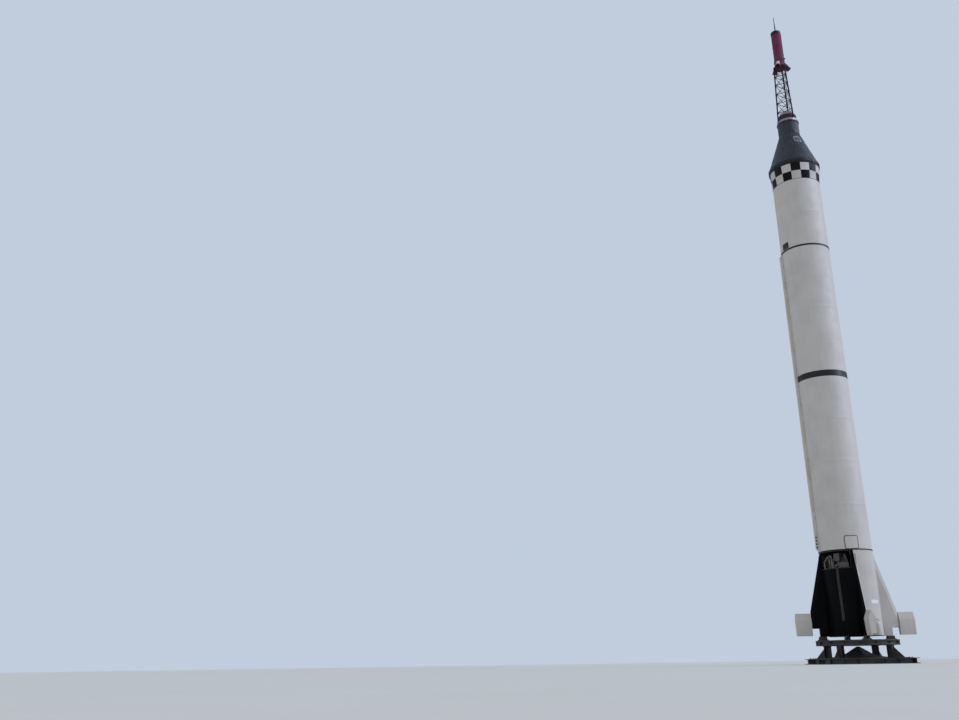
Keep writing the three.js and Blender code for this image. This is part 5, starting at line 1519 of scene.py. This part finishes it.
# Its lengths butt together, and a small pinch shows at every joint
breaks = np.linspace(TUNNEL_LOW + 0.2, TUNNEL_HIGH - 0.2, 10)
z = np.unique(np.concatenate([[TUNNEL_LOW, TUNNEL_LOW + 0.09, TUNNEL_HIGH - 0.09, TUNNEL_HIGH],
                              breaks - 0.003, breaks, breaks + 0.003]))
pinch = np.where(np.isin(z, breaks), 0.004, 0.0)
ends = np.clip(np.minimum(z - TUNNEL_LOW, TUNNEL_HIGH - z) / 0.09, 0, 1)
drop = (1 - ends) * (PROUD - 0.012)
depth = np.maximum(r[None, :] - drop[:, None], base_r) - pinch[:, None] * (r > base_r)
widths = x[None, :] * (1 - pinch[:, None] * 8)
points = np.stack(np.broadcast_arrays(widths, -depth, z[:, None]), -1)
cover = turned_to(capped(points), TUNNEL_AZIMUTH)
piece("tunnel_cover", cover, WHITE, nodes=("cable_tunnel",))

# %% Straps and latches of the tunnel
strap_z = np.linspace(TUNNEL_LOW + 0.5, TUNNEL_HIGH - 0.5, 16)
strap_foot = -BODY_R - 0.009
strap = [cuboid((-0.085, strap_foot, -0.02), (-HALF_WIDTH + 0.001, -BODY_R + 0.006, 0.02)),
         cuboid((HALF_WIDTH - 0.001, strap_foot, -0.02), (0.085, -BODY_R + 0.006, 0.02)),
         *(moved(hexagon_head(0.014, 0.007), (x, strap_foot, 0)) for x in (-0.071, 0.071))]
up_the_side = np.tile(np.eye(4), (len(strap_z), 1, 1))
up_the_side[:, Z, 3] = strap_z
straps = [repeated(shape, up_the_side) for shape in at_each(TUNNEL_AZIMUTH, *strap)]
piece("tunnel_straps", straps, ALLOY)
latch = cuboid((HALF_WIDTH - 0.002, -top_r + 0.01, -0.024), (HALF_WIDTH + 0.012, -top_r + 0.06, 0.024))
latches = [moved(latch, (0, 0, TUNNEL_LOW + 0.14 + 0.115 * i)) for i in range(4)]
piece("tunnel_latches", at_each(TUNNEL_AZIMUTH, *latches), RUBBER, bevel=0.003)

# %% Arched covers and their dark seals, a painted shadow
COVER_AZIMUTHS, COVER_FOOT_R, COVER_NECK_R = (36, 216), 0.189, 0.139
cover_low, cover_high = span("tail_cover_1")
arch = np.linspace(0, np.pi / 2, 9)
shoulder_z = cover_high - COVER_NECK_R
profile_r = np.concatenate([[COVER_FOOT_R, COVER_FOOT_R - 0.003], COVER_NECK_R * np.cos(arch)])
profile_z = np.concatenate([[cover_low, cover_low + 0.02], shoulder_z + COVER_NECK_R * np.sin(arch)])
local = np.radians(np.linspace(-94, 94, 33))
seat = BODY_R - 0.012
xs = profile_r[:, None] * np.sin(local)[None, :]
ys = -(seat + profile_r[:, None] * np.cos(local)[None, :])
arched = grid(np.stack([xs, ys, np.broadcast_to(profile_z[:, None], xs.shape)], -1))

# The cover's outline on the skin, from one foot over the top to the other, and its outward normal
side = np.stack([profile_r, profile_z], 1)
outline = np.vstack([side * (-1, 1), side[-2::-1]])
way = np.gradient(outline, axis=0)
way /= np.linalg.norm(way, axis=1, keepdims=True)
outward = np.stack([-way[:, 1], way[:, 0]], 1)


def on_skin(points, proud):
    """Points given as (arc length, height) laid on the tail's skin."""
    return around(np.degrees(points[..., 0] / BODY_R), BODY_R + proud, points[..., 1])


flange_edges = np.stack([outline - 0.012 * outward, outline + 0.034 * outward])
cover_flange = grid(on_skin(flange_edges, 0.004))
# A dark rubber bead round each cover: painted shadow of its edge on the skin
shadow_seal = tube(on_skin(outline + 0.038 * outward, 0.002), 0.009, 8)
for number, azimuth in enumerate(COVER_AZIMUTHS, 1):
    piece(f"arched_cover_{number}", turned_to(arched, azimuth), WHITE, nodes=(f"tail_cover_{number}",),
          wall=0.004)
    piece(f"arched_cover_flange_{number}", turned_to(cover_flange, azimuth), WHITE,
          wall=0.005)
piece("cover_seals_painted_shadow", at_each(COVER_AZIMUTHS, shadow_seal), RUBBER)

# %% Conduit on its channel
CONDUIT_AZIMUTH = -38
conduit_low, conduit_high = span("tail_conduit")
rise = np.array([conduit_low, conduit_low + 0.5, conduit_low + 1.1, conduit_high - 0.12, conduit_high])
path = smooth(around(CONDUIT_AZIMUTH + np.array([0.4, 0.2, -0.3, 0, 0]), BODY_R + 0.014, rise), 8)
bridges = [cuboid((-0.034, -BODY_R - 0.032, z - 0.011), (0.034, -BODY_R + 0.004, z + 0.011))
           for z in np.linspace(conduit_low + 0.12, conduit_high - 0.12, 5)]
piece("tail_conduit_pipe", [tube(path, 0.0165, 14), *at_each(CONDUIT_AZIMUTH, *bridges)], BROWN,
      nodes=("tail_conduit",), bevel=0.002)
turn = np.degrees(np.arctan2(path[:, X], -path[:, Y]))
across = np.degrees(np.array([-0.05, -0.044, 0.044, 0.05]) / BODY_R)
ends = np.ones(len(path))
ends[[0, -1]] = 0
lift = np.outer(ends, [0, 0.01, 0.01, 0]) - 0.002
channel = grid(around(turn[:, None] + across[None, :], BODY_R + lift, path[:, Z][:, None]))
piece("conduit_channel", channel, BROWN, wall=0.002)

# %% Access panel with its dark border
panel_low, panel_high = span("access_panel")
PANEL_R = BODY_R + 0.009
panel = patch(0, 13.5, panel_low, panel_high, PANEL_R, 0.045, 20, 28)
piece("access_cover", panel, WHITE, nodes=("access_panel",), wall=0.011, bevel=0.0015)
border = patch(0, 14.9, panel_low - 0.022, panel_high + 0.022, BODY_R + 0.0084, 0.06, 20, 28)
piece("access_border", border, BLACK, wall=0.005, bevel=0.001)
edge_z = np.linspace(panel_low + 0.05, panel_high - 0.05, 6)
screws = [repeated(SCREW, facing(a, PANEL_R, edge_z)) for a in (-12.2, 12.2)]
across = np.linspace(-10.4, 10.4, 7)
screws += [repeated(SCREW, facing(across, PANEL_R, z)) for z in (panel_low + 0.02, panel_high - 0.02)]
piece("access_screws", screws, ALLOY)

# %% Port plate
plate_low, plate_high = span("port_plate")
plate = patch(-65.5, 10.5, plate_low, plate_high, PANEL_R, 0.025, 16, 22)
piece("port_cover", plate, BLACK, nodes=("port_plate",), wall=0.011, bevel=0.0015)
port = turned([(0, 0), (0.034, 0), (0.034, 0.006), (0.026, 0.009), (0, 0.009)], 20)
# Azimuth and height of each port
PORT_PLACES = ((-70.5, plate_low + 0.07), (-61.5, plate_low + 0.07), (-70.5, plate_high - 0.07))
ports = [turned_to(aimed(port, (0, -BODY_R - 0.006, z), (0, -2, z)), azimuth) for azimuth, z in PORT_PLACES]
latch = cuboid((-0.045, -BODY_R - 0.016, plate_high - 0.095), (0.045, -BODY_R - 0.004, plate_high - 0.045))
piece("port_fittings", ports + at_each(-61, latch), PRIMER, bevel=0.002)

# %% Small blank plates and covers
blank = patch(40, 12, BASE + 1.04, BASE + 1.16, BODY_R + 0.004, 0.006, 6, 16)
piece("tail_plate", blank, SIGN_WHITE, wall=0.005, bevel=0.001)
# Lids of the instrument section: azimuth, half width in degrees, lower and upper height
LIDS = ((148, 9, 16.2, 16.5), (-152, 6, 15.9, 16.1), (19, 4.5, 16.87, 16.93), (3, 4.5, 16.5, 16.56))
lids = [patch(*lid, BODY_R + 0.004, 0.02, 12, 12) for lid in LIDS]
piece("instrument_lids", lids, WHITE, wall=0.006, bevel=0.001)

# %% [markdown]
# ## Launch table
# The rocket stands on a low table of rolled beams: a square frame with two cross beams, a
# column at each corner, and a turntable ring on top that carries four pads under the fins.
# A rolled beam is an I outline carried along its length. A pyramid under the bell turns
# the exhaust outwards. All of it is bolted, so plates and bolt heads show at the joints.

# %% Beams and frame
BEAM_WIDTH, BEAM_HEIGHT, FLANGE, WEB = 0.21, 0.18, 0.018, 0.014
half_w, half_web = BEAM_WIDTH / 2, WEB / 2
I_OUTLINE = mirrored([(half_w, 0), (half_w, FLANGE), (half_web, FLANGE + 0.006),
                      (half_web, BEAM_HEIGHT - FLANGE - 0.006), (half_w, BEAM_HEIGHT - FLANGE),
                      (half_w, BEAM_HEIGHT)])


def beam(length, centre_r, azimuth):
    """Rolled beam lying across an azimuth at a distance from the axis."""
    corners, faces = prism(I_OUTLINE, length)
    lying = np.stack([corners[:, 1], corners[:, 0] - centre_r, corners[:, 2]], 1)
    return turned_to((lying, faces), azimuth)


# Half the length of a side beam, and how far the beams that end against it reach into it
SIDE, OVERLAP = 1.48, 0.002
edge_r, inner_length = SIDE - half_w, 2 * (SIDE - BEAM_WIDTH) + OVERLAP
shapes = [beam(2 * SIDE if azimuth % 180 else inner_length, edge_r, azimuth) for azimuth in FIN_AZIMUTHS]
shapes += [beam(inner_length, 0, azimuth) for azimuth in (0, 90)]

# %% Corner feet, columns and stiffeners
CORNER_AZIMUTHS = (45, 135, 225, 315)
FOOT_LOW, FOOT_HIGH, TOP = 0.002, 0.184, span("stand_ring")[LOW]
foot = [cuboid((-0.11, -1.86, FOOT_LOW), (0.11, -1.0, FOOT_LOW + FLANGE)),
        cuboid((-0.11, -1.86, FOOT_HIGH - FLANGE), (0.11, -1.0, FOOT_HIGH)),
        cuboid((-0.007, -1.859, FOOT_LOW + FLANGE - 0.001), (0.007, -1.001, FOOT_HIGH - FLANGE + 0.001)),
        cuboid((-0.109, -1.858, FOOT_LOW + 0.001), (0.109, -1.845, FOOT_HIGH - 0.001))]
corners, faces = prism([(-1.62, BEAM_HEIGHT), (-1.238, BEAM_HEIGHT), (-1.238, TOP - 0.07),
                        (-1.262, TOP - 0.07)], 0.02)
gusset = (corners[:, [Y, X, Z]], faces)
column = [cuboid((-0.085, -1.24, BEAM_HEIGHT), (0.085, -1.228, TOP)),
          cuboid((-0.085, -1.062, BEAM_HEIGHT), (0.085, -1.05, TOP)),
          cuboid((-0.007, -1.229, BEAM_HEIGHT), (0.007, -1.061, TOP))]
column += [cuboid((-0.1, -1.26, z), (0.1, -1.03, z + 0.018)) for z in (BEAM_HEIGHT, TOP - 0.018)]
shapes += at_each(CORNER_AZIMUTHS, *foot, gusset, *column)
stiffeners = []
for across in (-0.84, -0.42, 0.42, 0.84):
    for side in (-1, 1):
        near, far = sorted((side * half_web, side * (half_w - 0.008)))
        plate = cuboid((across - 0.005, -edge_r + near, FLANGE),
                       (across + 0.005, -edge_r + far, BEAM_HEIGHT - FLANGE))
        stiffeners.append(plate)
shapes += at_each(FIN_AZIMUTHS, *stiffeners)
piece("table_frame", shapes, STEEL, nodes=("stand_base_frame",), bevel=0.003)

foot_bolts = [standing(hexagon_head(0.036, 0.022), x, -r, FOOT_HIGH) for x in (-0.075, 0.075)
              for r in (1.7, 1.8)]
beam_bolts = [standing(hexagon_head(0.03, 0.018), x, -edge_r, BEAM_HEIGHT)
              for x in (-0.06, 0.06, -1.08, -1.14, 1.08, 1.14)]
bolts = at_each(CORNER_AZIMUTHS, *foot_bolts) + at_each(FIN_AZIMUTHS, *beam_bolts)
piece("table_bolts", bolts, STEEL)

# %% Turntable ring
(DECK_LOW, DECK_HIGH), DECK_R, DECK_IN = span("stand_ring"), reach("stand_ring"), 0.93
profile = above(DECK_LOW, (DECK_IN, 0), (DECK_R, 0), (DECK_R, 0.038), (DECK_R - 0.062, 0.042))
profile += above(DECK_HIGH, (DECK_R - 0.062, -0.042), (DECK_R, -0.038), (DECK_R, 0), (DECK_IN, 0))
web_plate = cuboid((-0.006, -DECK_R + 0.004, DECK_LOW + 0.038), (0.006, -DECK_R + 0.064, DECK_HIGH - 0.038))
web_plates = at_each(np.arange(0, 360, 22.5) + 11.25, web_plate)
deck_bolt = standing(hexagon_head(0.032, 0.014), 0, -DECK_R + 0.035, DECK_HIGH - 0.0135)
deck_bolts = repeated(deck_bolt, facing(np.arange(48) * 7.5 + 3.75, 0, 0))
piece("turntable_ring", [turned(profile, 144, closed=True), *web_plates], STEEL, nodes=("stand_ring",),
      bevel=0.002)
piece("turntable_bolts", deck_bolts, STEEL)

# %% Pads and screw jacks
pad_low, pad_high = span("stand_pad_1")
plate = cuboid((-0.12, -1.29, pad_low), (0.12, -0.96, pad_low + 0.028))
cheeks = [cuboid((x - 0.009, -1.25, pad_low + 0.026), (x + 0.009, -1.0, pad_high - 0.02))
          for x in (-0.066, 0.066)]
saddle = cuboid((-0.075, -1.25, pad_high - 0.024), (0.075, -1.0, pad_high))
# The screw jack's thread is drawn at a pitch of 10 mm
threads = [point for z in pad_low + 0.026 + np.arange(8) * 0.01 for point in ((0.034, z), (0.04, z + 0.005))]
spindle = turned([(0, pad_low + 0.02), *threads, (0.03, pad_high - 0.02), (0, pad_high - 0.02)], 24)
spindle = moved(spindle, (0, -1.125, 0))
nuts = [standing(hexagon_head(0.032, 0.018), x, -r, pad_low + 0.028) for x in (-0.095, 0.095)
        for r in (1.0, 1.25)]
for number, azimuth in enumerate(FIN_AZIMUTHS, 1):
    shapes = at_each(azimuth, plate, *cheeks, saddle, *nuts)
    piece(f"pad_block_{number}", shapes, STEEL, nodes=(f"stand_pad_{number}",),
          bevel=0.003)
    piece(f"pad_spindle_{number}", turned_to(spindle, azimuth), ROD)

# %% Flame deflector
FLAME_LOW, FLAME_HIGH = span("flame_deflector")
profile = above(FLAME_LOW, (0, 0), (0.998, 0), (0.998, 0.02), (0.8, 0.047), (0.6, 0.09), (0.42, 0.155),
                (0.28, 0.24), (0.12, 0.335)) + [(0.04, FLAME_HIGH), (0, FLAME_HIGH)]
hip = np.array([(0, -r, z) for r, z in profile[2:-1]]) + (0, 0.006, -0.002)
hips = at_each(FIN_AZIMUTHS, tube(hip, 0.013, 8, ref=(0.93, 0.1, 0.1)))
piece("flame_pyramid", [turned(profile, 4), *hips], STEEL, nodes=("flame_deflector",),
      angle=25)

# %% Boxes of the frame and of the dressed pieces
low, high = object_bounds()
sizes = {"cad": [list(map(float, cad_low)), list(map(float, cad_high))],
         "visual": [list(map(float, low)), list(map(float, high))]}
print("visual box", [round(v, 4) for v in low], [round(v, 4) for v in high])
